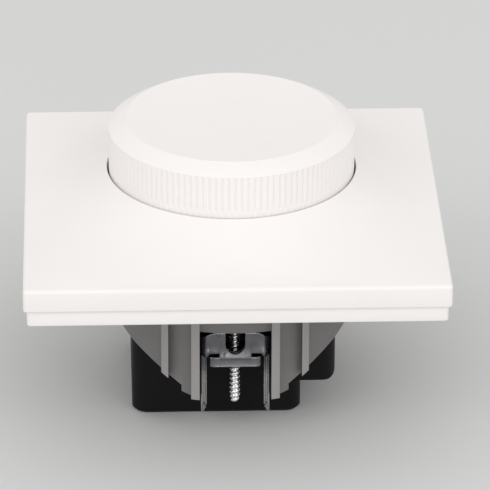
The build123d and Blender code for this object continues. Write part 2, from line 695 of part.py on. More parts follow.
def spindle():
    """Spindle with a flat for the knob, a flat for the rotor and a nick for its fork clip."""
    over = 2 * SPINDLE_R
    bar = disc(SPINDLE_R, SPINDLE_LOW, SPINDLE_TOP)
    for low, high in ((HUB_LOW, SPINDLE_TOP), (SPINDLE_LOW, ROTOR_TOP + PUSH_TRAVEL)):
        bar -= block((SPINDLE_FLAT, over), (-over, over), (low, high))
    return bar - block((-over, -SPINDLE_FLAT), (-over, over), (CLIP_LOW, CLIP_TOP))


def retaining_clip():
    """Fork clip that straddles the spindle's flats below the wafer."""
    half = SPINDLE_FLAT + CLIP_PRONG
    plate = block((-half, half), (-SPINDLE_R - CLIP_PRONG / 2, SPINDLE_R), (CLIP_LOW, CLIP_TOP))
    return plate - block((-SPINDLE_FLAT, SPINDLE_FLAT), (-SPINDLE_R, SPINDLE_R), (CLIP_LOW, CLIP_TOP))


def wiper_rotor():
    """Moulded arm that the spindle drives by its flat."""
    arm = block((-ROTOR_HALF, ROTOR_HALF), (-ROTOR_HALF, ROTOR_REACH), (ROTOR_LOW, ROTOR_TOP))
    return arm - spindle_bar(ROTOR_LOW, ROTOR_TOP, SPINDLE_FIT)


def wiper_contact():
    """Spring strip under the arm with a finger that rubs on the track."""
    y = (WAFER_HOLE_R, ROTOR_REACH)
    strip = block((-WIPER_HALF, WIPER_HALF), y, (ROTOR_LOW - WIPER_SHEET, ROTOR_LOW))
    finger_y = (WAFER_HOLE_R + WIPER_SHEET, ROTOR_REACH - WIPER_SHEET)
    return strip + block((-WIPER_HALF / 2, WIPER_HALF / 2), finger_y, (WAFER_TOP + WIPER_GAP, ROTOR_LOW))


def cover_nut():
    """Hexagon nut on the bush that clamps the cover to the carrier."""
    hexagon = RegularPolygon(NUT_FLATS / 2, 6, major_radius=False)
    return prism(hexagon, FLOOR_TOP, NUT_TOP) - disc(BUSH_R, FLOOR_TOP, NUT_TOP)


# Circuit parts

CHOKE_X = -INNER_HALF_X + WALL_GAP + CHOKE_COIL + CHOKE_SIZE[0] / 2
SINK_FRONT = -INNER_HALF_Y + WALL_GAP
SINK_BACK = SINK_FRONT + SINK_SIZE[1]
TRIAC_TOP = BOARD_LOW - LEAD_LENGTH
TRIAC_LOW = TRIAC_TOP - TRIAC_BODY


def choke_core():
    """Ferrite core of the interference choke: two yokes, two outer legs and a middle one."""
    deep, wide, tall = CHOKE_SIZE
    core = column(deep / 2, wide / 2, BOARD_LOW - tall, BOARD_LOW, CHOKE_X)
    window_z = (BOARD_LOW - tall + CHOKE_YOKE, BOARD_LOW - CHOKE_YOKE)
    for side in (-1, 1):
        window_y = (side * CHOKE_LEG, side * (wide / 2 - CHOKE_LEG))
        core -= block((CHOKE_X - deep / 2, CHOKE_X + deep / 2), window_y, window_z)
    return core


def choke_winding():
    """Winding on the core's middle leg."""
    deep, wide, tall = CHOKE_SIZE
    low = BOARD_LOW - tall + CHOKE_YOKE
    high = BOARD_LOW - CHOKE_YOKE
    coil = column(deep / 2 + CHOKE_COIL, wide / 2 - CHOKE_LEG - COIL_GAP, low, high, CHOKE_X)
    return coil - column(deep / 2, CHOKE_LEG, low, high, CHOKE_X)


def hanging_box(size, x, y):
    """Potted part that hangs from the board."""
    return column(size[0] / 2, size[1] / 2, BOARD_LOW - size[2], BOARD_LOW, x, y)


def capacitor():
    """Interference capacitor along the rear wall."""
    return hanging_box(CAPACITOR_SIZE, 0, INNER_HALF_Y - WALL_GAP - CAPACITOR_SIZE[1] / 2)


def resistors():
    """Two resistors of the firing circuit."""
    return Compound([hanging_box(RESISTOR_SIZE, x, y) for x, y in RESISTOR_AT])


def heat_sink():
    """Plate that the triac's tab is soldered to, standing on the board's edge."""
    return hanging_box(SINK_SIZE, 0, (SINK_FRONT + SINK_BACK) / 2)


def triac():
    """Power switch: tab, body and three leads up to the board."""
    half = TRIAC_WIDTH / 2
    tab_y = (SINK_BACK, SINK_BACK + TAB_THICK)
    shape = block((-half, half), tab_y, (TRIAC_LOW - TAB_LENGTH, TRIAC_TOP))
    shape += block((-half, half), (SINK_BACK, SINK_BACK + TRIAC_DEPTH), (TRIAC_LOW, TRIAC_TOP))
    for i in (-1, 0, 1):
        y = SINK_BACK + TRIAC_DEPTH / 2
        shape += column(LEAD_WIDTH / 2, LEAD_WIDTH / 4, TRIAC_TOP, BOARD_LOW, i * LEAD_PITCH, y)
    return shape


# Terminals


def terminal_cage(y):
    """Square cage open along X: the wire lies over the bar and the cage pulls it down."""
    half = CAGE_LENGTH / 2
    cage = column(half, CAGE_WIDTH / 2, CAGE_LOW, CAGE_TOP, TERMINAL_X, y)
    inside = CAGE_WIDTH / 2 - CAGE_WALL
    cage -= column(half, inside, CAGE_LOW + CAGE_PLATE, CAGE_TOP - CAGE_PLATE, TERMINAL_X, y)
    return cage - disc(TERMINAL_SCREW_R + CAGE_GAP, CAGE_LOW, CAGE_LOW + CAGE_PLATE, TERMINAL_X, y)


def terminal_screw(y):
    """Captive screw with its head in the step and its tip at the bar."""
    head = disc(TERMINAL_HEAD_R, HEAD_LOW, HEAD_TOP, TERMINAL_X, y)
    return head + disc(TERMINAL_SCREW_R, HEAD_TOP, BAR_LOW - CONTACT_GAP, TERMINAL_X, y)


def terminal_bars():
    """Current bars from the cages up to the board."""
    outer = TERMINAL_X + CAGE_LENGTH / 2
    half = BAR_WIDTH / 2
    bars = []
    for y in TERMINAL_YS:
        bar = block((BAR_INSET, outer), (y - half, y + half), (BAR_LOW, WIRE_LOW))
        riser = block((BAR_INSET, BAR_INSET + BAR_THICK), (y - half, y + half), (BAR_LOW, BOARD_LOW))
        bars.append(bar + riser)
    return Compound(bars)


def nodes():
    """Every piece of the dimmer by name."""
    turned = Rot(0, 0, 180)
    pieces = {
        "knob": knob(),
        "cover_plate": cover_plate(),
        "backing_frame": backing_frame(),
        "carrier": carrier(),
        "claw_front": claw(),
        "claw_rear": turned * claw(),
        "claw_screw_front": claw_screw(),
        "claw_screw_rear": turned * claw_screw(),
        "base_housing": base_housing(),
        "circuit_board": circuit_board(),
        "switch_housing": switch_housing(),
        "fixed_contacts": fixed_contacts(),
        "switch_plunger": switch_plunger(),
        "contact_bridge": contact_bridge(),
        "return_spring": return_spring(),
        "track_wafer": track_wafer(),
        "pot_housing": pot_housing(),
        "pot_bush": pot_bush(),
        "spindle": spindle(),
        "retaining_clip": retaining_clip(),
        "wiper_rotor": wiper_rotor(),
        "wiper_contact": wiper_contact(),
        "cover_nut": cover_nut(),
        "choke_core": choke_core(),
        "choke_winding": choke_winding(),
        "capacitor": capacitor(),
        "timing_capacitor": hanging_box(TIMING_SIZE, *TIMING_AT),
        "heat_sink": heat_sink(),
        "triac": triac(),
        "fuse": hanging_box(FUSE_SIZE, *FUSE_AT),
        "resistors": resistors(),
        "diac": hanging_box(DIAC_SIZE, *DIAC_AT),
        "terminal_bars": terminal_bars(),
    }
    for number, y in enumerate(TERMINAL_YS, start=1):
        pieces[f"terminal_cage_{number}"] = terminal_cage(y)
        pieces[f"terminal_screw_{number}"] = terminal_screw(y)
    return pieces


os.makedirs("parts", exist_ok=True)
for name, piece in nodes().items():
    export_step(piece, f"parts/{name}.step")
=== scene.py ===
"""Looks of a flush-mounted rotary push dimmer.

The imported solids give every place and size. The pieces made here stand for them: smooth white
mouldings, a knurled knob, softened grey and black mouldings, stamped steel claws, threaded screws
and the rounded pieces inside. Lengths are metres, in the solids' own frame.
"""

import json
import logging
import math
from collections.abc import Iterable, Sequence
from dataclasses import dataclass
from enum import Enum, IntEnum
from typing import Any, NamedTuple

import bmesh
import bpy
from mathutils import Matrix, Quaternion, Vector

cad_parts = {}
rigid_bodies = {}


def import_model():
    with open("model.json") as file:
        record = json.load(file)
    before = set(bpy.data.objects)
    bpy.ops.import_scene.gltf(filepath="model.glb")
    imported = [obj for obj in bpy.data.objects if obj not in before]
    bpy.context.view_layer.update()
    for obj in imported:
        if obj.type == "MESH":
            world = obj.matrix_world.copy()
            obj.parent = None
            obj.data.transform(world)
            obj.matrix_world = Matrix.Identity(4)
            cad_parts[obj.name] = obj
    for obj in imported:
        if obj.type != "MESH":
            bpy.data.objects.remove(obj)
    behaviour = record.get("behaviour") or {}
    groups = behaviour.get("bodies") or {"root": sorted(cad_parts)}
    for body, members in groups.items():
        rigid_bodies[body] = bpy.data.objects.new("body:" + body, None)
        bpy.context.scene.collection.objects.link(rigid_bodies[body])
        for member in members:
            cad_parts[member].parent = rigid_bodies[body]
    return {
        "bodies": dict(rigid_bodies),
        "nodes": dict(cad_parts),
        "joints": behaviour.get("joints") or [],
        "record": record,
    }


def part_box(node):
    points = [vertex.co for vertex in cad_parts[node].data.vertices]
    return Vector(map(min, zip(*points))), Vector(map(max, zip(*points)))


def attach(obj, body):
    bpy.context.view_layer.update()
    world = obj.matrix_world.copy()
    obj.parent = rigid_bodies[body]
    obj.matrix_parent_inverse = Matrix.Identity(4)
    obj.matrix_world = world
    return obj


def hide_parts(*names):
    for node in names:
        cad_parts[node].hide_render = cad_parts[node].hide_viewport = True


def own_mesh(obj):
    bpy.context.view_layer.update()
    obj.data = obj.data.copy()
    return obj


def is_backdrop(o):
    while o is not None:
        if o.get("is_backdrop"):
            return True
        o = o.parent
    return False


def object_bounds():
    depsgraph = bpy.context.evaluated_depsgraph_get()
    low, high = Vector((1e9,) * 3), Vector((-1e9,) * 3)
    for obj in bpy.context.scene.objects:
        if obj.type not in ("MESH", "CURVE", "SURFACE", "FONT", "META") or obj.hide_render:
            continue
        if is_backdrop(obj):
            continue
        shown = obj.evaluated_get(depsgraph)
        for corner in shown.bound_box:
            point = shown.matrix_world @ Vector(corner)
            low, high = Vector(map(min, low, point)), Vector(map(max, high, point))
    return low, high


LOG = logging.getLogger("dimmer")
MM = 0.001
MERGE_GAP = 0.0005 * MM
FLAT_ANGLE = math.radians(1.0)
SHARP_ANGLE = math.radians(30.0)
RIGHT_ANGLE = math.pi / 2
FULL_TURN = 2 * math.pi
TINY = 1e-6

Point = tuple[float, float]
Place = tuple[float, float, float]
Colour = tuple[float, float, float]
Mesh = bmesh.types.BMesh
Socket = bpy.types.NodeSocket
Materials = dict[str, bpy.types.Material]


class Body(Enum):
    """Moving groups that a piece can ride on."""

    FRAME = "body_frame"
    KNOB = "knob_body"
    PUSH = "push_body"
    WIPER = "wiper_body"
    SCREW_FRONT = "screw_front_body"
    SCREW_REAR = "screw_rear_body"
    CLAW_FRONT = "claw_front_body"
    CLAW_REAR = "claw_rear_body"
    TERMINAL_SCREW_1 = "terminal_screw_1_body"
    TERMINAL_SCREW_2 = "terminal_screw_2_body"
    TERMINAL_CAGE_1 = "terminal_cage_1_body"
    TERMINAL_CAGE_2 = "terminal_cage_2_body"


# Finishes

# Range that most of a noise's values lie in
NOISE_LOW = 0.3
NOISE_HIGH = 0.7


class MixSocket(IntEnum):
    """Places of a colour mix's sockets, whose names it shares with other kinds of mix."""

    SHARE = 0
    RESULT = 2
    FIRST = 6
    SECOND = 7


class NodeBench:
    """Short way to lay out the nodes of one material."""

    def __init__(self, material: bpy.types.Material) -> None:
        """Take up a material.

        Args:
            material: the material, new or already laid out.
        """
        self.material = material
        self.material.use_nodes = True
        self.tree = self.material.node_tree
        self.shader = self.tree.nodes["Principled BSDF"]
        self.coordinates = self.tree.nodes.new("ShaderNodeTexCoord").outputs["Object"]

    def node(self, kind: str, inputs: dict[str | int, Any], **settings: str) -> bpy.types.Node:
        """Add a node.

        Args:
            kind: its type, without the first part that all types share.
            inputs: a value or a socket for each input.
            settings: its other settings.

        Returns:
            The node.
        """
        node = self.tree.nodes.new(f"ShaderNode{kind}")
        for name, setting in settings.items():
            setattr(node, name, setting)
        for name, value in inputs.items():
            if isinstance(value, Socket):
                self.tree.links.new(value, node.inputs[name])
            else:
                node.inputs[name].default_value = value
        return node

    def shade(self, name: str, value: Socket) -> None:
        """Let a socket drive one of the shader's inputs."""
        self.tree.links.new(value, self.shader.inputs[name])

    def stretched(self, scale: Place) -> Socket:
        """Object coordinates scaled along X, Y and Z."""
        return self.node("Mapping", {"Vector": self.coordinates, "Scale": scale}).outputs["Vector"]

    def noise(self, size: float, layers: float, place: Socket | None = None) -> Socket:
        """Noise with features of about one size and some finer layers."""
        inputs = {"Vector": place or self.coordinates, "Scale": 1.0 / size, "Detail": layers}
        return self.node("TexNoise", inputs).outputs["Fac"]

    def ramp(self, value: Socket, start: float, end: float, low: float = 0.0, high: float = 1.0) -> Socket:
        """Value carried over from one range to another, and held at its ends."""
        inputs = {"Value": value, "From Min": start, "From Max": end, "To Min": low, "To Max": high}
        return self.node("MapRange", inputs).outputs["Result"]

    def roughen(self, noise: Socket, low: float, high: float) -> None:
        """Let the roughness wander between two values with a noise."""
        self.shade("Roughness", self.ramp(noise, NOISE_LOW, NOISE_HIGH, low, high))

    def mix(self, share: Socket, first: Socket | Sequence[float], second: Sequence[float]) -> None:
        """Make the base colour a mix of two colours, with a share of the second."""
        inputs = {MixSocket.SHARE: share, MixSocket.FIRST: first, MixSocket.SECOND: second}
        self.shade("Base Color", self.node("Mix", inputs, data_type="RGBA").outputs[MixSocket.RESULT])

    def tint(self, noise: Socket, colour: Colour, spread: float) -> None:
        """Let the base colour wander with a noise, by a share either way."""
        factors = (1.0 - spread, 1.0 + spread)
        self.mix(noise, *((*(min(c * factor, 1.0) for c in colour), 1.0) for factor in factors))

    def blend(self, share: Socket, colour: Colour) -> None:
        """Mix a share of a second colour over the base colour that is already laid out."""
        plain = self.shader.inputs["Base Color"].links[0].from_socket
        self.mix(share, plain, (*colour, 1.0))

    def bump(self, noise: Socket, depth: float, strength: float) -> None:
        """Raise the surface by a noise, to a depth of which a share shows."""
        relief = self.node("Bump", {"Height": noise, "Distance": depth, "Strength": strength})
        self.shade("Normal", relief.outputs["Normal"])


@dataclass(frozen=True)
class Finish:
    """What every finish has: a colour that wanders in patches, and a fine relief.

    Attributes:
        name: slot that it belongs to.
        colour: base colour.
        roughness: middle roughness.
        wander: share by which the colour wanders.
        patch: size of the colour's patches.
        relief: depth of the grain or the lines.
        strength: share of the relief that shows.
    """

    name: str
    colour: Colour
    roughness: float
    wander: float = 0.02
    patch: float = 14 * MM
    relief: float = 0.012 * MM
    strength: float = 0.6


@dataclass(frozen=True)
class Moulding(Finish):
    """Moulded plastic with the fine grain of its tool, its roughness uneven either way."""

    grain: float = 0.30 * MM
    uneven: float = 0.05
    specular: float = 0.5

    def material(self) -> bpy.types.Material:
        """Lay out this finish.

        Returns:
            The material.
        """
        bench = NodeBench(bpy.data.materials.new(self.name))
        grain = bench.noise(self.grain, layers=2.0)
        bench.tint(bench.noise(self.patch, layers=3.0), self.colour, self.wander)
        bench.roughen(grain, self.roughness - self.uneven, self.roughness + self.uneven)
        bench.bump(grain, self.relief, self.strength)
        bench.shader.inputs["Specular IOR Level"].default_value = self.specular
        return bench.material


@dataclass(frozen=True)
class RibHighlightMoulding(Moulding):
    """Moulding whose outermost faces, the ribs, are painted paler as a painted highlight for the extra light
    that they catch.

    Attributes:
        rib_highlight_colour: base colour of the painted highlight.
        highlight_r: distance from the Z axis at which the painted highlight starts.
        fade: width over which it grows.
    """

    rib_highlight_colour: Colour = (0.5, 0.5, 0.5)
    highlight_r: float = 28.2 * MM
    fade: float = 0.5 * MM

    def material(self) -> bpy.types.Material:
        """Lay out this finish.

        Returns:
            The material.
        """
        bench = NodeBench(super().material())
        # painted highlight: faces beyond a radius from the axis, the ribs, are blended towards a paler colour
        across = bench.stretched((1.0, 1.0, 0.0))
        reach = bench.node("VectorMath", {0: across}, operation="LENGTH").outputs["Value"]
        bench.blend(bench.ramp(reach, self.highlight_r, self.highlight_r + self.fade), self.rib_highlight_colour)
        return bench.material


@dataclass(frozen=True)
class Metal(Finish):
    """Bare or plated metal with rolling or drawing lines.

    Attributes:
        lines: spacing of the lines.
        stretch: factor along X, Y and Z, small along the lines.
        smoother: how far the roughness drops.
        rougher: how far it rises.
    """

    wander: float = 0.08
    patch: float = 3 * MM
    relief: float = 0.006 * MM
    strength: float = 0.5
    lines: float = 0.15 * MM
    stretch: Place = (1.0, 1.0, 0.08)
    smoother: float = 0.08
    rougher: float = 0.1

    def material(self) -> bpy.types.Material:
        """Lay out this finish.

        Returns:
            The material.
        """
        bench = NodeBench(bpy.data.materials.new(self.name))
        bench.shader.inputs["Metallic"].default_value = 1.0
        patches = bench.noise(self.patch, layers=4.0)
        lines = bench.noise(self.lines, layers=3.0, place=bench.stretched(self.stretch))
        bench.tint(patches, self.colour, self.wander)
        bench.roughen(patches, self.roughness - self.smoother, self.roughness + self.rougher)
        bench.bump(lines, self.relief, self.strength)
        return bench.material


@dataclass(frozen=True)
class LowerLitMetal(Metal):
    """Metal painted brighter towards its lower end, as painted light where the light reaches below the shade
    at its top.

    Attributes:
        low_lit_colour: base colour of the painted light at the lower end.
        high: height at which the painted light starts.
        low: height below which it is even.
    """

    low_lit_colour: Colour = (0.4, 0.4, 0.4)
    high: float = -17.0 * MM
    low: float = -20.5 * MM

    def material(self) -> bpy.types.Material:
        """Lay out this finish.

        Returns:
            The material.
        """
        bench = NodeBench(super().material())
        # painted light: the colour ramps from the darker steel at the top to a brighter colour lower down
        height = bench.node("SeparateXYZ", {0: bench.coordinates}).outputs["Z"]
        bench.blend(bench.ramp(height, self.high, self.low), self.low_lit_colour)
        return bench.material


FINISHES: tuple[Moulding | Metal, ...] = (
    Moulding("white_knob", (0.86, 0.828, 0.81), 0.42),
    Moulding("white_cover", (0.86, 0.828, 0.81), 0.40),
    # grey carrier: its ribs get a painted highlight
    RibHighlightMoulding(
        "grey_moulding", (0.178, 0.171, 0.169), 0.50, wander=0.05, relief=0.02 * MM, rib_highlight_colour=(0.32, 0.308, 0.304)
    ),
    Moulding("black_moulding", (0.006, 0.006, 0.007), 0.52, wander=0.10, relief=0.02 * MM, specular=0.14),
    # claws: painted light towards the legs, darker in the shade at the top of the web
    LowerLitMetal("claw_steel", (0.14, 0.14, 0.148), 0.30, wander=0.45, patch=2.2 * MM),
    Metal("zinc_screw", (0.80, 0.80, 0.79), 0.24, wander=0.05),
    Metal("spring_steel", (0.55, 0.55, 0.54), 0.34),
    Metal("brass", (0.78, 0.58, 0.28), 0.30),
    Metal("aluminium", (0.76, 0.76, 0.77), 0.36),
    Moulding("board", (0.35, 0.22, 0.09), 0.60, wander=0.12, patch=2 * MM),
    Moulding("phenolic", (0.20, 0.11, 0.06), 0.55, wander=0.12, patch=2 * MM),
    Moulding("white_inner", (0.75, 0.74, 0.70), 0.50),
    Moulding("iron_powder", (0.20, 0.19, 0.18), 0.65, wander=0.15, patch=1 * MM),
    Metal("copper", (0.70, 0.30, 0.15), 0.32, stretch=(1.0, 0.08, 1.0)),
    Moulding("capacitor_case", (0.55, 0.45, 0.10), 0.35),
    Moulding("resistor_body", (0.50, 0.40, 0.28), 0.45, wander=0.08, patch=1 * MM),
)


# Mesh tools


def held(value: float) -> float:
    """Value held within 0 and 1."""
    return min(max(value, 0.0), 1.0)


def polar(reach: float, angle: float, z: float) -> Vector:
    """Point at a distance and direction from the Z axis."""
    return Vector((reach * math.cos(angle), reach * math.sin(angle), z))


def circles(section: Iterable[Point], angles: Sequence[float]) -> list[list[Vector]]:
    """Round rings with the radii and heights of a section."""
    return [[polar(radius, angle, z) for angle in angles] for radius, z in section]


def even_angles(count: int, shift: float = 0.0) -> list[float]:
    """Even directions once round in radians, turned by a number of steps."""
    return [(k + shift) * FULL_TURN / count for k in range(count)]


def arc(centre: Point, radius: float, start: float, end: float, steps: int) -> list[Point]:
    """Points along an arc in a section, its angles in degrees from outwards towards up."""
    angles = [math.radians(start + (end - start) * k / steps) for k in range(steps + 1)]
    return [(centre[0] + radius * math.cos(a), centre[1] + radius * math.sin(a)) for a in angles]


def clean(bm: Mesh) -> None:
    """Merge points that meet, and drop faces and edges without size."""
    bmesh.ops.remove_doubles(bm, verts=bm.verts, dist=MERGE_GAP)
    bmesh.ops.dissolve_degenerate(bm, dist=MERGE_GAP, edges=bm.edges)


def loft(rings: Sequence[Sequence[Vector]]) -> Mesh:
    """Skin drawn ring by ring: each ring is extruded from the last and set to its own points.

    Args:
        rings: the rings, with as many points in each. The first and last close up or meet.

    Returns:
        The closed skin, its faces outwards.
    """
    bm = bmesh.new()
    station = bm.verts.layers.int.new("station")
    verts = bmesh.ops.create_circle(bm, segments=len(rings[0]), radius=1.0)["verts"]
    for index, vert in enumerate(verts):
        vert[station] = index
    edges = list(bm.edges)
    for number, points in enumerate(rings):
        if number:
            grown = bmesh.ops.extrude_edge_only(bm, edges=edges)["geom"]
            verts = [item for item in grown if isinstance(item, bmesh.types.BMVert)]
            fresh = set(verts)
            edges = [item for item in grown if isinstance(item, bmesh.types.BMEdge)]
            edges = [edge for edge in edges if fresh.issuperset(edge.verts)]
        for vert in verts:
            vert.co = points[vert[station]]
    clean(bm)
    bmesh.ops.recalc_face_normals(bm, faces=bm.faces)
    return bm


def capped(rings: Sequence[Sequence[Vector]]) -> list[Sequence[Vector]]:
    """Rings of an open skin, with a ring drawn together at its middle added at each end."""
    ends = [[sum(ring, Vector()) / len(ring)] * len(ring) for ring in (rings[0], rings[-1])]
    return [ends[0], *rings, ends[1]]


def round_edges(bm: Mesh, edges: list[bmesh.types.BMEdge], width: float, segments: int) -> None:
    """Round some edges to a width in a number of steps."""
    look = {"profile": 0.5, "affect": "EDGES", "clamp_overlap": True, "material": -1}
    bmesh.ops.bevel(bm, geom=edges, offset=width, offset_type="OFFSET", segments=segments, **look)


def join(bm: Mesh, added: Mesh) -> None:
    """Add one mesh to another.

    Args:
        bm: mesh that grows.
        added: mesh that is used up.
    """
    mesh = bpy.data.meshes.new("added")
    added.to_mesh(mesh)
    added.free()
    bm.from_mesh(mesh)
    bpy.data.meshes.remove(mesh)


@dataclass(frozen=True)
class Piece:
    """What a finished mesh stands for.

    Attributes:
        name: the piece's name.
        body: group that it moves with.
        slot: finish.
        nodes: solids that it replaces.
        crease: angle in degrees above which an edge stays sharp.
    """

    name: str
    body: Body
    slot: str
    nodes: tuple[str, ...]
    crease: float = 35.0

    def finish(self, bm: Mesh, materials: Materials) -> bpy.types.Object:
        """Turn the mesh into a shown object.

        Args:
            bm: the mesh, which is used up.
            materials: materials by slot.

        Returns:
            The object.
        """
        mesh = bpy.data.meshes.new(self.name)
        for face in bm.faces:
            face.smooth = True
        bm.to_mesh(mesh)
        bm.free()
        mesh.set_sharp_from_angle(angle=math.radians(self.crease))
        mesh.materials.append(materials[self.slot])
        shown = bpy.data.objects.new(self.name, mesh)
        bpy.context.scene.collection.objects.link(shown)
        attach(shown, self.body.value)
        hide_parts(*self.nodes)
        LOG.info("%s: %d faces on %s", self.name, len(mesh.polygons), self.body.value)
        return shown


# Cover


class SquareRing(NamedTuple):
    """Rounded square at one height, or a rounder outline between a square and a circle.

    Attributes:
        half: half its width.
        corner: radius of its corners.
        z: its height.
        power: exponent of a rounder outline, or 0 for the rounded square itself.
    """

    half: float
    corner: float
    z: float
    power: float = 0.0

    def reach(self, angle: float) -> float:
        """Distance of the outline from the axis.

        Args:
            angle: direction from the axis in radians.

        Returns:
            The distance.
        """
        small, large = sorted((abs(math.cos(angle)), abs(math.sin(angle))))
        if self.power:
            return self.half / (small**self.power + large**self.power) ** (1.0 / self.power)
        middle = self.half - self.corner
        if small * self.half <= middle * large:
            return self.half / large
        along = middle * (small + large)
        square = along * along - 2.0 * middle * middle + self.corner * self.corner
        return along + math.sqrt(max(square, 0.0))

    def points(self, angles: Iterable[float]) -> list[Vector]:
        """Points of the outline in some directions."""
        return [polar(self.reach(angle), angle, self.z) for angle in angles]


@dataclass
class CoverPlate:
    """White cover: rim, crown that runs up to a round mouth, and the well that the knob turns in.

    Attributes:
        half: half the cover's width.
        foot_z: height of its foot.
        mouth_z: height of the well's mouth.
        floor_z: height of the well's floor.
        under_z: height of the floor's underside.
        well_r: radius of the well.
        peg_z: height of the pegs' ends.
    """

    half: float
    foot_z: float
    mouth_z: float
    floor_z: float
    under_z: float
    well_r: float
    peg_z: float
    crown_rise: float = 7.1 * MM
    wall: float = 1.8 * MM
    roof: float = 2.5 * MM
    corner: float = 0.8 * MM
    rim_round: float = 0.7 * MM
    rim_lean: float = 85.0
    foot_round: float = 0.25 * MM
    lip: float = 0.25 * MM
    lip_round: float = 0.14 * MM
    hole_r: float = 5.15 * MM
    well_round: float = 0.6 * MM
    flare: float = 0.82
    squareness: float = 0.97
    rounder: float = 1.6
    peg: float = 3.0 * MM
    peg_round: float = 0.25 * MM
    peg_inset: float = 4.45 * MM
    side_steps: int = 28
    corner_steps: int = 8
    crown_rings: int = 28
    inner_rings: int = 8

    @classmethod
    def from_frame(cls, knob_gap: float = 0.35 * MM) -> "CoverPlate":
        """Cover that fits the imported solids.

        Args:
            knob_gap: gap round the knob.

        Returns:
            The cover.
        """
        low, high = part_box("cover_plate")
        return cls(
            half=high.x,
            foot_z=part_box("backing_frame")[1].z,
            mouth_z=high.z,
            floor_z=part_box("cover_nut")[0].z,
            under_z=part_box("carrier")[1].z,
            well_r=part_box("knob")[1].x + knob_gap,
            peg_z=low.z,
        )

    @property
    def rim_z(self) -> float:
        """Height of the rim, where the crown ends."""
        return self.mouth_z - self.crown_rise

    def angles(self) -> list[float]:
        """Directions in radians that lie even along the sides and close in the corners.

        Returns:
            The directions, once round.
        """
        middle = self.half - self.corner
        first = math.atan2(middle, self.half)
        quarter = [first * k / self.side_steps for k in range(self.side_steps)]
        for k in range(self.corner_steps + 1):
            turn = RIGHT_ANGLE * k / self.corner_steps
            across, up = middle + self.corner * math.cos(turn), middle + self.corner * math.sin(turn)
            quarter.append(math.atan2(up, across))
        quarter += [RIGHT_ANGLE - angle for angle in reversed(quarter[1 : self.side_steps])]
        return [angle + turn * RIGHT_ANGLE for turn in range(4) for angle in quarter]

    def round_ring(self, radius: float, z: float) -> SquareRing:
        """Round ring."""
        return SquareRing(radius, radius, z, 2.0)

    def flared(self, inner: float, outer: float, low: float, high: float, rings: int) -> list[SquareRing]:
        """Rings down a flare that starts round and ends nearly square.

        Args:
            inner: radius at the top.
            outer: half width at the foot.
            low: height of the foot.
            high: height of the top.
            rings: number of rings.

        Returns:
            The rings from the top down, without the square one at the foot.
        """
        flare = []
        for k in range(rings):
            down = k / rings
            up = 1.0 - down
            rise = (1.0 - self.flare) * up + self.flare * up * up
            power = 2.0 / (1.0 - self.squareness * down**self.rounder)
            half = inner + (outer - inner) * down
            flare.append(SquareRing(half, half, low + (high - low) * rise, power))
        return flare

    def rings(self) -> list[SquareRing]:
        """Draw the cover's section.

        Returns:
            The rings up the well, over its lip, down the crown and the rim, and back underneath.
        """
        floor = (self.well_r - self.well_round, self.floor_z + self.well_round)
        lip = (self.well_r + self.lip_round, self.mouth_z - self.lip_round)
        well = [(self.hole_r, self.under_z), (self.hole_r, self.floor_z)]
        well += arc(floor, self.well_round, -90, 0, steps=5)
        well += [(self.well_r, self.mouth_z - 2 * self.lip_round)]
        well += arc(lip, self.lip_round, 180, 90, steps=6)
        edge = (-self.rim_round, self.rim_z - self.rim_round)
        foot = (-self.foot_round, self.foot_z + self.foot_round)
        rim = arc(edge, self.rim_round, self.rim_lean, 0, steps=8)
        rim += arc(foot, self.foot_round, 0, -90, steps=4)
        start, end = self.well_r + self.lip, self.half - self.rim_round
        outer, inner = self.well_r + self.wall, self.half - self.wall
        low = self.rim_z - self.wall
        return [
            *(self.round_ring(radius, z) for radius, z in well),
            *self.flared(start, end, self.rim_z, self.mouth_z, self.crown_rings),
            *(SquareRing(self.half + out, self.corner + out, z) for out, z in rim),
            SquareRing(inner, self.corner, self.foot_z),
            SquareRing(inner, self.corner, low),
            *reversed(self.flared(outer, inner, low, self.mouth_z - self.roof, self.inner_rings)),
            self.round_ring(outer, self.under_z),
            self.round_ring(self.hole_r, self.under_z),
        ]

    def build(self) -> Mesh:
        """Make the cover with its four locating pegs.

        Returns:
            The cover's mesh.
        """
        angles = self.angles()
        bm = loft([ring.points(angles) for ring in self.rings()])
        place = self.half - self.peg_inset
        shape = Matrix.Diagonal((self.peg, self.peg, self.rim_z - self.peg_z, 1.0))
        for i, j in ((-1, -1), (-1, 1), (1, -1), (1, 1)):
            middle = Matrix.Translation((i * place, j * place, (self.peg_z + self.rim_z) / 2))
            corners = set(bmesh.ops.create_cube(bm, size=1.0, matrix=middle @ shape)["verts"])
            edges = [edge for edge in bm.edges if edge.verts[0] in corners]
            round_edges(bm, edges, self.peg_round, segments=2)
        return bm


# Knob

DISH_SHARES = (0.0, 0.1, 0.2, 0.3, 0.4, 0.5, 0.6, 0.7, 0.8, 0.87, 0.93, 0.97, 0.985, 0.995, 1.0)
SHOULDER_SHARES = (0.0, 0.015, 0.05, 0.12, 0.2, 0.3, 0.4, 0.5, 0.6, 0.7, 0.8, 0.88, 0.95, 0.985, 1.0)


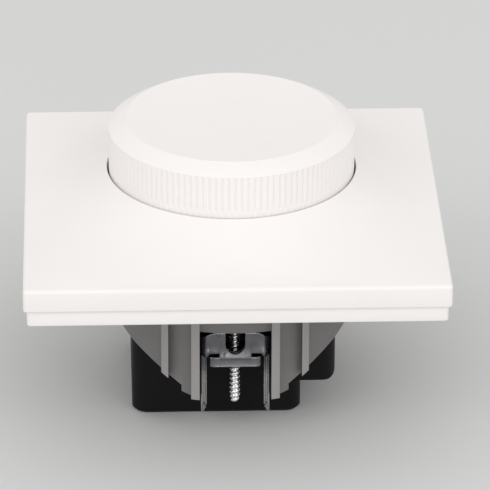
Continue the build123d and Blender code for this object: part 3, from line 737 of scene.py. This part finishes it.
@dataclass
class Knob:
    """White cap: dished top, wide rounded shoulder and a knurl whose grooves run out under it.

    Attributes:
        radius: radius over the knurl.
        foot_z: height of the skirt's foot.
        top_z: height of the top's edge.
        bore_z: height of the bore's end.
        hub_z: height of the hub's foot.
    """

    radius: float
    foot_z: float
    top_z: float
    bore_z: float
    hub_z: float
    top_r: float = 21.7 * MM
    dish: float = 1.1 * MM
    edge_round: float = 0.18 * MM
    edge_out: float = 0.06 * MM
    edge_drop: float = 0.081 * MM
    edge_crown: Point = (0.02 * MM, 0.04 * MM)
    foot_round: float = 0.25 * MM
    shoulder_rise: float = 2.0 * MM
    shoulder_bulge: float = 0.10 * MM
    grooves: int = 120
    groove_depth: float = 0.24 * MM
    groove_power: float = 1.2
    land: float = 0.60
    run_out: float = 0.8 * MM
    run_steps: int = 8
    plain_foot: float = 5.2 * MM
    wall: float = 1.75 * MM
    roof: float = 2.3 * MM
    bore_r: float = 3.05 * MM
    bore_flat: float = 1.95 * MM
    hub_r: float = 5.2 * MM
    points: int = 12

    @classmethod
    def from_frame(cls, push: float = 2.0 * MM) -> "Knob":
        """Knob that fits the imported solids.

        Args:
            push: room under the hub for the push.

        Returns:
            The knob.
        """
        low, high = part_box("knob")
        hub_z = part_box("pot_bush")[1].z + push
        return cls(high.x, low.z, high.z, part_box("spindle")[1].z, hub_z)

    @property
    def shoulder_z(self) -> float:
        """Height at which the shoulder meets the knurl."""
        return self.top_z - self.shoulder_rise

    def groove(self, station: int, z: float) -> float:
        """Depth of the knurl at one place.

        Args:
            station: number of the point round the ring.
            z: height.

        Returns:
            How far the surface lies inside the knob's radius.
        """
        across = abs((station / self.points) % 1.0 - 0.5) * 2.0
        share = max(0.0, 1.0 - across / (1.0 - self.land))
        profile = math.sin(share * RIGHT_ANGLE) ** self.groove_power
        near = min(self.shoulder_z - z, z - self.foot_z - self.plain_foot)
        inside = held(near / self.run_out)
        raised = 1.0 - math.sqrt(1.0 - (1.0 - inside) ** 2)
        return self.groove_depth * max(0.0, profile - raised)

    def bore(self, angle: float) -> float:
        """Distance of the flatted bore's wall from the axis in one direction."""
        return min(self.bore_r, self.bore_flat / max(math.cos(angle), TINY))

    def top(self) -> list[Point]:
        """Draw the top.

        Returns:
            Section from the middle of the dish over its crisp edge and down the shoulder.
        """
        inside = self.top_r - self.edge_round
        section = [(inside * s, self.top_z - self.dish * (1.0 - s * s)) for s in DISH_SHARES]
        start = Vector((self.top_r + self.edge_out, self.top_z - self.edge_drop))
        section.append(tuple((Vector(section[-1]) + start) / 2 + Vector(self.edge_crown)))
        along = Vector((self.radius, self.shoulder_z)) - start
        outwards = Vector((-along.y, along.x)).normalized() * 4 * self.shoulder_bulge
        for share in SHOULDER_SHARES:
            section.append(tuple(start + along * share + outwards * share * (1.0 - share)))
        return section

    def skirt(self) -> list[Point]:
        """Draw the skirt.

        Returns:
            Section of the grooves' upper and lower ends and the plain foot.
        """
        shares = [k / self.run_steps for k in range(1, self.run_steps + 1)]
        plain = self.foot_z + self.plain_foot
        heights = [self.shoulder_z - self.run_out * share for share in shares]
        heights += [plain + self.run_out * share for share in reversed(shares)]
        heights += [plain, self.foot_z + self.foot_round]
        return [*((self.radius, z) for z in heights), (self.radius - self.foot_round, self.foot_z)]

    def inside(self) -> list[Point]:
        """Section of the inner wall, the ceiling and the hub."""
        inner, ceiling = self.radius - self.groove_depth - self.wall, self.top_z - self.roof
        return [(inner, self.foot_z), (inner, ceiling), (self.hub_r, ceiling), (self.hub_r, self.hub_z)]

    def build(self) -> Mesh:
        """Make the knob.

        Returns:
            The knob's mesh.
        """
        angles = even_angles(self.grooves * self.points, -0.5 * self.points)
        rings = circles(self.top(), angles)
        for radius, z in self.skirt():
            rings.append([polar(radius - self.groove(k, z), angle, z) for k, angle in enumerate(angles)])
        rings += circles(self.inside(), angles)
        for z in (self.hub_z, self.bore_z):
            rings.append([polar(self.bore(angle), angle, z) for angle in angles])
        return loft(rings + circles([(0.0, self.bore_z)], angles))


# Claws and screws

NOTCH_SHARES = (1.0, 0.97, 0.9, 0.78, 0.6, 0.4, 0.2, 0.0)

# Rounded edge of a sheet: share of its radius by which its middle lies inside the corner
EDGE_SHARE = 0.29

# Down the nut plate's side: shares of its height, plain and with an inset as a share of the edge
PLATE_SIDE = (
    *((0.0, 1.0), (0.03, EDGE_SHARE)),
    *((share, 0.0) for share in (0.09, 0.25, 0.4, 0.55, 0.7, 0.8, 0.88, 0.93)),
    *((0.98, EDGE_SHARE), (1.0, 1.0)),
)

# Collar's section: distance from its radius, and height over the plate's underside or its own end
COLLAR_ROOT = ((0.35 * MM, 0.0), (0.10 * MM, -0.10 * MM), (-0.05 * MM, -0.30 * MM))
COLLAR_END = ((-0.25 * MM, 0.15 * MM), (-0.35 * MM, 0.0))

# Bead along a leg's edge: share of its width, and drop as a share of the edge's radius
BEAD = ((0.0, 1.0), (0.07, 0.55), (0.25, 0.13), (0.5, 0.0), (0.75, 0.13), (0.93, 0.55), (1.0, 1.0))

# Barbs of a leg: height over its tip, share of its depth cut from the back, and narrowing
BARBS = (
    (1.55 * MM, 1 / 2, 0.0),
    (1.45 * MM, 1 / 2, 0.28 * MM),
    (1.10 * MM, 1 / 2, 0.28 * MM),
    (0.95 * MM, 3 / 4, 0.12 * MM),
    (0.60 * MM, 5 / 6, 0.40 * MM),
    (0.35 * MM, 9 / 10, 0.45 * MM),
)


@dataclass
class ClawSheet:
    """Stamped claw: a bent web with a notch, a nut plate with a drawn collar, and two grooved legs.

    It is drawn with X across, Y outwards from the knob's axis and Z up. Drops are taken from the
    web's top.

    Attributes:
        half: half its width.
        face: distance of the web's face from the knob's axis.
        back: distance of the flanges' back edges.
        top: height of the web's top.
        tip: height of the legs' tips.
        axis: distance of the screw's axis.
    """

    half: float
    face: float
    back: float
    top: float
    tip: float
    axis: float
    sheet: float = 1.2 * MM
    bend: float = 1.5 * MM
    bend_steps: int = 10
    edge: float = 0.2 * MM
    notch: float = 2.0 * MM
    notch_drop: float = 3.9 * MM
    crest: float = 0.8 * MM
    shoulder_half: float = 4.2 * MM
    shoulder_run: float = 3.0 * MM
    shoulder_drop: float = 1.1 * MM
    web_stop: float = 4.7 * MM
    web_end: float = 0.1 * MM
    web_points: int = 14
    web_drop: float = 3.85 * MM
    corner_drop: float = 0.8 * MM
    corner_run: float = 0.5 * MM
    root_half: float = 3.2 * MM
    step: float = 0.01 * MM
    bulge: float = 0.42 * MM
    bulge_half: float = 5.9 * MM
    bulge_wide: float = 1.0 * MM
    bulge_drop: float = 3.8 * MM
    bulge_tall: float = 1.2 * MM
    flare: float = 0.5 * MM
    flare_drop: float = 2.0 * MM
    flare_run: float = 2.65 * MM
    flare_half: float = 4.5 * MM
    flare_fade: float = 1.2 * MM
    plate_drop: float = 4.65 * MM
    plate_tall: float = 2.15 * MM
    plate_half: float = 5.3 * MM
    plate_back: float = 19.3 * MM
    plate_power: float = 18.0
    plate_points: int = 96
    lip_from: float = 0.8
    lip_out: float = 0.2 * MM
    lip_flare: float = 0.3 * MM
    collar_r: float = 2.2 * MM
    collar_drop: float = 1.1 * MM
    hole_r: float = 1.6 * MM
    mouth: float = 0.75 * MM
    mouth_r: float = 1.95 * MM
    mouth_rim: float = 0.2 * MM
    leg_back: float = 0.25 * MM
    leg_inset: float = 0.02 * MM
    leg_drop: float = 4.35 * MM
    groove: float = 0.65 * MM
    groove_drop: float = 7.4 * MM
    groove_run: float = 0.5 * MM
    groove_end: float = 1.75 * MM
    taper_top: float = 4.4 * MM
    taper_end: float = 2.2 * MM
    tip_deep: float = 0.6 * MM
    tip_narrow: float = 0.7 * MM
    outer_bead: float = 0.40
    inner_bead: float = 0.30
    bead_gap: float = 0.02

    @classmethod
    def from_frame(cls, proud: float = 0.4 * MM, depth: float = 4.9 * MM) -> "ClawSheet":
        """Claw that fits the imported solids.

        Args:
            proud: how far the solid's legs stand before its web.
            depth: distance from their faces to the flanges' back edges.

        Returns:
            The claw.
        """
        low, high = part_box("claw_front")
        screw_low, screw_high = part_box("claw_screw_front")
        axis = -(screw_low.y + screw_high.y) / 2
        return cls(high.x, -low.y - proud, -low.y - depth, high.z, low.z, axis)

    def sheet_point(self, along: float, inwards: float, z: float) -> Vector:
        """Point of the bent sheet, with a bulge at each lower corner and a flare towards its foot.

        Args:
            along: distance from the middle along the outside of the bend.
            inwards: depth below the outer surface.
            z: height.

        Returns:
            The point.
        """
        reach = abs(along)
        flat = self.half - self.bend
        side = (reach - self.bulge_half) / self.bulge_wide
        low = (z - self.top + self.bulge_drop) / self.bulge_tall
        down = held((self.top - self.flare_drop - z) / self.flare_run)
        beside = max(reach - self.flare_half, 0.0) / self.flare_fade
        pressed = self.bulge * math.exp(-side * side - low * low)
        pressed += self.flare * down * down * math.exp(-beside * beside)
        turn = min(max((reach - flat) / self.bend, 0.0), RIGHT_ANGLE)
        run_back = max(reach - flat - self.bend * RIGHT_ANGLE, 0.0)
        radius = self.bend - inwards + pressed
        across = math.copysign(min(reach, flat) + radius * math.sin(turn), along)
        return Vector((across, self.face - self.bend + radius * math.cos(turn) - run_back, z))

    def web_ring(self, along: float, in_notch: bool) -> list[Vector]:
        """Section of the web at one place, its long edges rounded.

        Args:
            along: distance from the middle along the bend.
            in_notch: whether the place counts as part of the notch.

        Returns:
            The points round the section.
        """
        reach = abs(along)
        shoulder = held((reach - self.shoulder_half) / self.shoulder_run)
        top = self.top + self.crest - self.shoulder_drop * shoulder * shoulder * (3.0 - 2.0 * shoulder)
        if in_notch:
            floor = self.top - self.notch_drop
            top = floor + self.notch - math.sqrt(max(self.notch**2 - reach**2, 0.0))
        corner = held((reach - self.plate_half) / self.corner_run)
        foot = self.top - self.web_drop - self.corner_drop * corner
        if reach < self.root_half:
            foot = self.top - self.plate_drop - self.sheet / 2
        e, deep = self.edge, self.sheet
        cut = EDGE_SHARE * e
        tall = top - foot - 2 * e
        heights = [foot + e + tall * k / (self.web_points - 1) for k in range(self.web_points)]
        section = [(0.0, z) for z in heights]
        section += [(cut, top - cut), (e, top), (deep - e, top), (deep - cut, top - cut)]
        section += [(deep, z) for z in reversed(heights)]
        section += [(deep - cut, foot + cut), (deep - e, foot), (e, foot), (cut, foot + cut)]
        return [self.sheet_point(along, inwards, z) for inwards, z in section]

    def web(self) -> Mesh:
        """Make the web with its two side flanges.

        Returns:
            The web's mesh.
        """
        flat = self.half - self.bend
        round_bend = self.bend * RIGHT_ANGLE
        length = flat + round_bend + self.face - self.bend - self.back
        stops = [length, length - self.web_end]
        stops += [flat + round_bend * k / self.bend_steps for k in range(self.bend_steps, -1, -1)]
        stops += [self.plate_half, self.web_stop, self.shoulder_half]
        stops += [self.root_half + self.step, self.root_half - self.step]
        stops += [(self.root_half + self.notch) / 2, self.notch + self.step]
        places = [(along, False) for along in stops]
        places += [(self.notch * share, True) for share in NOTCH_SHARES]
        places += [(-along, in_notch) for along, in_notch in reversed(places[:-1])]
        return loft(capped([self.web_ring(along, in_notch) for along, in_notch in places]))

    def plate_side(self, angle: float, share: float, inset: float) -> Vector:
        """Point on the nut plate's side, which flares outwards along its front.

        Args:
            angle: direction from the screw's axis.
            share: share of the way down.
            inset: how far the outline is pulled in.

        Returns:
            The point, taken from the screw's axis.
        """
        ahead = self.face - self.axis
        deep = ahead if math.sin(angle) > 0 else self.axis - self.plate_back
        across = (self.plate_half - inset) / max(abs(math.cos(angle)), TINY)
        along = (deep - inset) / max(abs(math.sin(angle)), TINY)
        power = self.plate_power
        reach = (across**-power + along**-power) ** (-1.0 / power)
        point = polar(reach, angle, self.top - self.plate_drop - self.plate_tall * share)
        front = held((point.y / ahead - self.lip_from) / (1.0 - self.lip_from))
        point.y += front * (self.lip_out + self.lip_flare * share * share)
        return point

    def plate(self) -> Mesh:
        """Make the nut plate and its collar, drawn round the screw's hole.

        Returns:
            The plate's mesh.
        """
        top = self.top - self.plate_drop
        low = top - self.plate_tall
        end = low - self.collar_drop
        angles = even_angles(self.plate_points)
        hole = [(self.hole_r, end), (self.hole_r, top - self.mouth)]
        hole += [(self.mouth_r, top), (self.mouth_r + self.mouth_rim, top)]
        collar = [(self.collar_r + out, low + up) for out, up in COLLAR_ROOT]
        collar += [(self.collar_r + out, end + up) for out, up in COLLAR_END]
        rings = circles(hole, angles)
        for share, inset in PLATE_SIDE:
            rings.append([self.plate_side(angle, share, inset * self.edge) for angle in angles])
        plate = loft(rings + circles([*collar, hole[0]], angles))
        bmesh.ops.translate(plate, verts=plate.verts, vec=(0.0, self.axis, 0.0))
        return plate

    def leg(self, side: int) -> Mesh:
        """Make one leg: its root, the groove's run, the barbs and the tip.

        Args:
            side: -1 or 1.

        Returns:
            The leg's mesh.
        """
        front = self.face - self.leg_back
        deep = front - self.back
        outer = self.half - self.leg_inset
        groove_top = self.top - self.groove_drop
        groove_ends = (self.outer_bead + self.bead_gap, 1.0 - self.inner_bead - self.bead_gap)
        beads = [(self.outer_bead * share, drop) for share, drop in BEAD]
        inner_beads = [(1.0 - self.inner_bead * (1.0 - share), drop) for share, drop in BEAD]
        sections = [
            (self.top - self.leg_drop, 0.0, 0.0, 0.0),
            (groove_top, 0.0, 0.0, 0.0),
            (groove_top - self.groove_run, 0.0, self.groove, 0.0),
            (self.tip + self.taper_top, 0.0, self.groove, 0.0),
            (self.tip + self.taper_end, 0.5, self.groove, 0.0),
            (self.tip + self.groove_end, 0.5, self.groove, 0.0),
            *((self.tip + up, cut, 0.0, narrow) for up, cut, narrow in BARBS),
            (self.tip, 1.0 - self.tip_deep / deep, 0.0, self.tip_narrow),
        ]
        rings = []
        for z, cut, groove, narrow in sections:
            back = self.back + deep * cut
            middle = (front + back) / 2
            inner = self.half - self.sheet + narrow
            wide = outer - inner
            loop = [(inner, middle), (inner, back), (outer, back), (outer, middle)]
            loop += [(outer - share * wide, front - self.edge * drop) for share, drop in beads]
            loop += [(outer - share * wide, front - groove) for share in groove_ends]
            loop += [(outer - share * wide, front - self.edge * drop) for share, drop in inner_beads]
            rings.append([Vector((side * across, out, z)) for across, out in loop])
        return loft(capped(rings))

    def build(self, turned: bool) -> Mesh:
        """Make the claw.

        Args:
            turned: whether it is the rear one.

        Returns:
            The claw's mesh.
        """
        bm = bmesh.new()
        for part in (self.web(), self.plate(), self.leg(-1), self.leg(1)):
            join(bm, part)
        bmesh.ops.recalc_face_normals(bm, faces=bm.faces)
        if not turned:
            half_turn = Matrix.Rotation(math.pi, 3, "Z")
            bmesh.ops.rotate(bm, verts=bm.verts, cent=(0.0, 0.0, 0.0), matrix=half_turn)
        return bm


@dataclass
class ClawScrew:
    """Coarse-thread screw with a round head."""

    axis: Vector
    tip_z: float
    seat_z: float
    head_z: float
    head_r: float
    crest_r: float = 1.18 * MM
    root_r: float = 0.84 * MM
    pitch: float = 1.05 * MM
    crest_power: float = 1.3
    crest_steps: int = 10
    turn_steps: int = 32
    taper_turns: float = 1.5
    tip_share: float = 0.72
    side_share: float = 0.45
    flat_share: float = 0.55
    head_points: int = 48

    @classmethod
    def from_frame(cls, node: str, head_tall: float = 2.0 * MM) -> "ClawScrew":
        """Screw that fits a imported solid.

        Args:
            node: name of the solid.
            head_tall: height of the head.

        Returns:
            The screw.
        """
        low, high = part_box(node)
        middle = (low + high) / 2
        axis = Vector((middle.x, middle.y, 0.0))
        return cls(axis, low.z, high.z - head_tall, high.z, (high.x - low.x) / 2)

    def thread(self, bm: Mesh) -> None:
        """Spin one thread's section up the shank, cut it to length and taper its end.

        Args:
            bm: mesh to add it to.
        """
        start = self.tip_z - self.pitch
        points = []
        for k in range(self.crest_steps + 1):
            share = k / self.crest_steps
            height = max(math.sin(math.pi * share), 0.0) ** self.crest_power
            radius = self.root_r + (self.crest_r - self.root_r) * height
            points.append(bm.verts.new((radius, 0.0, start + self.pitch * share)))
        edges = [bm.edges.new(pair) for pair in zip(points, points[1:])]
        turns = math.ceil((self.seat_z - start) / self.pitch)
        steps = self.turn_steps * turns
        climb = {"axis": (0.0, 0.0, 1.0), "dvec": (0.0, 0.0, self.pitch / self.turn_steps)}
        bmesh.ops.spin(bm, geom=[*points, *edges], angle=FULL_TURN * turns, steps=steps, **climb)
        bmesh.ops.remove_doubles(bm, verts=bm.verts, dist=MERGE_GAP)
        for z, up in ((self.tip_z, -1.0), (self.seat_z, 1.0)):
            plane = {"plane_co": (0.0, 0.0, z), "plane_no": (0.0, 0.0, up)}
            geom = [*bm.verts, *bm.edges, *bm.faces]
            bmesh.ops.bisect_plane(bm, geom=geom, dist=MERGE_GAP, clear_outer=True, **plane)
            rim = [edge for edge in bm.edges if edge.is_boundary]
            rim = [edge for edge in rim if all(abs(vert.co.z - z) < 4 * MERGE_GAP for vert in edge.verts)]
            bmesh.ops.edgeloop_fill(bm, edges=rim)
        for vert in bm.verts:
            share = min((vert.co.z - self.tip_z) / (self.taper_turns * self.pitch), 1.0)
            vert.co.xy *= self.tip_share + (1.0 - self.tip_share) * share

    def head(self) -> Mesh:
        """Make the round head.

        Returns:
            The head's mesh.
        """
        side_z = self.seat_z + (self.head_z - self.seat_z) * self.side_share
        section = [(0.0, self.seat_z), (self.head_r, self.seat_z), (self.head_r, side_z)]
        for share in (0.3, 0.6, 0.85, 1.0):
            turn = share * RIGHT_ANGLE
            radius = self.head_r * (self.flat_share + (1.0 - self.flat_share) * math.cos(turn))
            section.append((radius, side_z + (self.head_z - side_z) * math.sin(turn)))
        return loft(circles([*section, (0.0, self.head_z)], even_angles(self.head_points)))

    def build(self) -> Mesh:
        """Make the screw.

        Returns:
            The screw's mesh.
        """
        bm = bmesh.new()
        self.thread(bm)
        join(bm, self.head())
        bmesh.ops.recalc_face_normals(bm, faces=bm.faces)
        bmesh.ops.translate(bm, verts=bm.verts, vec=self.axis)
        return bm


# Whole part

# Solids that have a piece of their own, and are not among the plain inner ones
SHAPED_NODES = {
    *("knob", "cover_plate", "backing_frame", "carrier", "base_housing", "return_spring"),
    *("claw_front", "claw_rear", "claw_screw_front", "claw_screw_rear"),
}


@dataclass(frozen=True)
class Dimmer:
    """All pieces of the dimmer, each finished and set on its body."""

    frame: dict[str, Any]
    materials: Materials
    tier_edge: float = 0.25 * MM
    carrier_edge: float = 0.18 * MM
    base_edge: float = 0.30 * MM
    leaf_edge: float = 0.05 * MM
    inner_edge: float = 0.12 * MM
    thread_crease: float = 75.0
    push: float = 1.5 * MM

    def dress_solids(self) -> None:
        """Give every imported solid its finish."""
        for part in self.frame["record"]["subparts"]:
            solid = self.frame["nodes"][part["node"]]
            if not solid.material_slots:
                solid.data.materials.append(None)
            for slot in solid.material_slots:
                slot.material = self.materials[part["material_slot"]]

    def soften(self, piece: Piece, width: float, segments: int = 2) -> bpy.types.Object:
        """Show one solid with its sharp edges rounded.

        Args:
            piece: piece that stands for it.
            width: width of each rounded edge.
            segments: steps across it.

        Returns:
            The shown object.
        """
        bm = bmesh.new()
        bm.from_mesh(self.frame["nodes"][piece.nodes[0]].data)
        bmesh.ops.remove_doubles(bm, verts=bm.verts, dist=MERGE_GAP)
        bmesh.ops.dissolve_limit(bm, angle_limit=FLAT_ANGLE, verts=bm.verts, edges=bm.edges)
        edges = [edge for edge in bm.edges if edge.is_manifold and edge.calc_face_angle() > SHARP_ANGLE]
        round_edges(bm, edges, width, segments)
        clean(bm)
        return piece.finish(bm, self.materials)

    def mouldings(self) -> None:
        """Make the white cover with its lower tier, the knob, the grey carrier and the black base."""
        cover = Piece("cover", Body.FRAME, "white_cover", ("cover_plate",))
        cover.finish(CoverPlate.from_frame().build(), self.materials)
        tier = Piece("lower_tier", Body.FRAME, "white_cover", ("backing_frame",))
        self.soften(tier, self.tier_edge, segments=3)
        knob = Piece("knob_cap", Body.KNOB, "white_knob", ("knob",))
        knob.finish(Knob.from_frame().build(), self.materials)
        carrier = Piece("claw_carrier", Body.FRAME, "grey_moulding", ("carrier",))
        self.soften(carrier, self.carrier_edge)
        base = Piece("base_cup", Body.FRAME, "black_moulding", ("base_housing",))
        self.soften(base, self.base_edge, segments=3)

    def claws(self) -> None:
        """Make the claws and their screws."""
        for side, claw_body, screw_body in (
            ("front", Body.CLAW_FRONT, Body.SCREW_FRONT),
            ("rear", Body.CLAW_REAR, Body.SCREW_REAR),
        ):
            claw = Piece(f"claw_sheet_{side}", claw_body, "claw_steel", (f"claw_{side}",))
            claw.finish(ClawSheet.from_frame().build(side == "rear"), self.materials)
            node = f"claw_screw_{side}"
            name = f"threaded_screw_{side}"
            screw = Piece(name, screw_body, "zinc_screw", (node,), self.thread_crease)
            screw.finish(ClawScrew.from_frame(node).build(), self.materials)

    def leaf_spring(self) -> None:
        """Make the push switch's leaf spring, with its own copy of the mesh."""
        leaf = Piece("leaf_spring", Body.FRAME, "spring_steel", ("return_spring",))
        shown = self.soften(leaf, self.leaf_edge)
        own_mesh(shown)

    def inner_parts(self) -> None:
        """Round the edges of the other solids, each on its own body."""
        record = self.frame["record"]
        slots = {part["node"]: part["material_slot"] for part in record["subparts"]}
        for body, nodes in record["behaviour"]["bodies"].items():
            for node in sorted(set(nodes) - SHAPED_NODES):
                inner = Piece(f"{node}_piece", Body(body), slots[node], (node,))
                self.soften(inner, self.inner_edge)

    def build(self) -> None:
        """Make every piece."""
        self.dress_solids()
        self.mouldings()
        self.claws()
        self.leaf_spring()
        self.inner_parts()


# Studio


class Lamp(NamedTuple):
    """Square lamp that faces the object."""

    name: str
    place: Place
    size: float
    watts: float

    def hang(self) -> None:
        """Add the lamp to the scene."""
        light = bpy.data.lights.new(self.name, "AREA")
        light.shape = "SQUARE"
        light.size = self.size
        light.energy = self.watts
        lamp = bpy.data.objects.new(self.name, light)
        lamp.location = self.place
        lamp.rotation_euler = (-Vector(self.place)).to_track_quat("-Z", "Y").to_euler()
        bpy.context.scene.collection.objects.link(lamp)


LAMPS = (
    Lamp("soft_left", (-0.64, -0.62, 0.62), 0.5, 1.85),
    Lamp("soft_right", (0.52, -0.62, 0.62), 0.5, 1.6),
    Lamp("glint_left", (-0.55, -0.70, 0.06), 0.07, 0.13),
    Lamp("glint_middle", (0.06, -0.70, 0.06), 0.07, 0.28),
    Lamp("glint_right", (0.55, -0.70, 0.06), 0.07, 0.13),
)
PAPER = Moulding("floor_paper", (0.66, 0.66, 0.655), 0.8, wander=0.01, patch=200 * MM, grain=1 * MM)


@dataclass(frozen=True)
class Studio:
    """Pale floor, even surroundings, lamps and the camera."""

    floor_z: float
    floor_half: float = 2.5
    sky: float = 0.855
    camera_place: Place = (-27.6 * MM, -833.1 * MM, 410.7 * MM)
    view_direction: Place = (0.0327, 0.895, -0.4448)
    roll: float = 0.2
    lens: float = 330.7
    sensor: float = 36.0
    near: float = 0.05

    def floor(self) -> None:
        """Lay the floor."""
        bm = bmesh.new()
        bmesh.ops.create_grid(bm, x_segments=1, y_segments=1, size=self.floor_half)
        bmesh.ops.translate(bm, verts=bm.verts, vec=(0.0, 0.0, self.floor_z))
        mesh = bpy.data.meshes.new("floor")
        bm.to_mesh(mesh)
        bm.free()
        mesh.materials.append(PAPER.material())
        floor = bpy.data.objects.new("floor", mesh)
        bpy.context.scene.collection.objects.link(floor)
        floor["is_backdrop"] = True

    def world(self) -> None:
        """Light the surroundings evenly."""
        world = bpy.data.worlds.new("studio")
        world.use_nodes = True
        background = world.node_tree.nodes["Background"]
        background.inputs["Color"].default_value = (1.0, 1.0, 1.0, 1.0)
        background.inputs["Strength"].default_value = self.sky
        bpy.context.scene.world = world

    def camera(self) -> None:
        """Set up the camera at the photograph's angle."""
        data = bpy.data.cameras.new("camera")
        data.lens = self.lens
        data.sensor_width = self.sensor
        data.clip_start = self.near
        camera = bpy.data.objects.new("camera", data)
        look = Vector(self.view_direction).to_track_quat("-Z", "Y")
        camera.rotation_mode = "QUATERNION"
        camera.rotation_quaternion = look @ Quaternion((0.0, 0.0, 1.0), math.radians(self.roll))
        camera.location = self.camera_place
        bpy.context.scene.collection.objects.link(camera)
        bpy.context.scene.camera = camera

    def build(self) -> None:
        """Set up the whole studio."""
        bpy.context.scene.view_settings.view_transform = "Standard"
        self.floor()
        self.world()
        for lamp in LAMPS:
            lamp.hang()
        self.camera()


def main() -> None:
    """Build the dimmer's looks and its studio."""
    logging.basicConfig(level=logging.INFO, format="%(name)s %(message)s")
    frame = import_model()
    solid_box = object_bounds()
    Dimmer(frame, {finish.name: finish.material() for finish in FINISHES}).build()
    Studio(floor_z=solid_box[0].z).build()


if __name__ == "__main__":
    main()
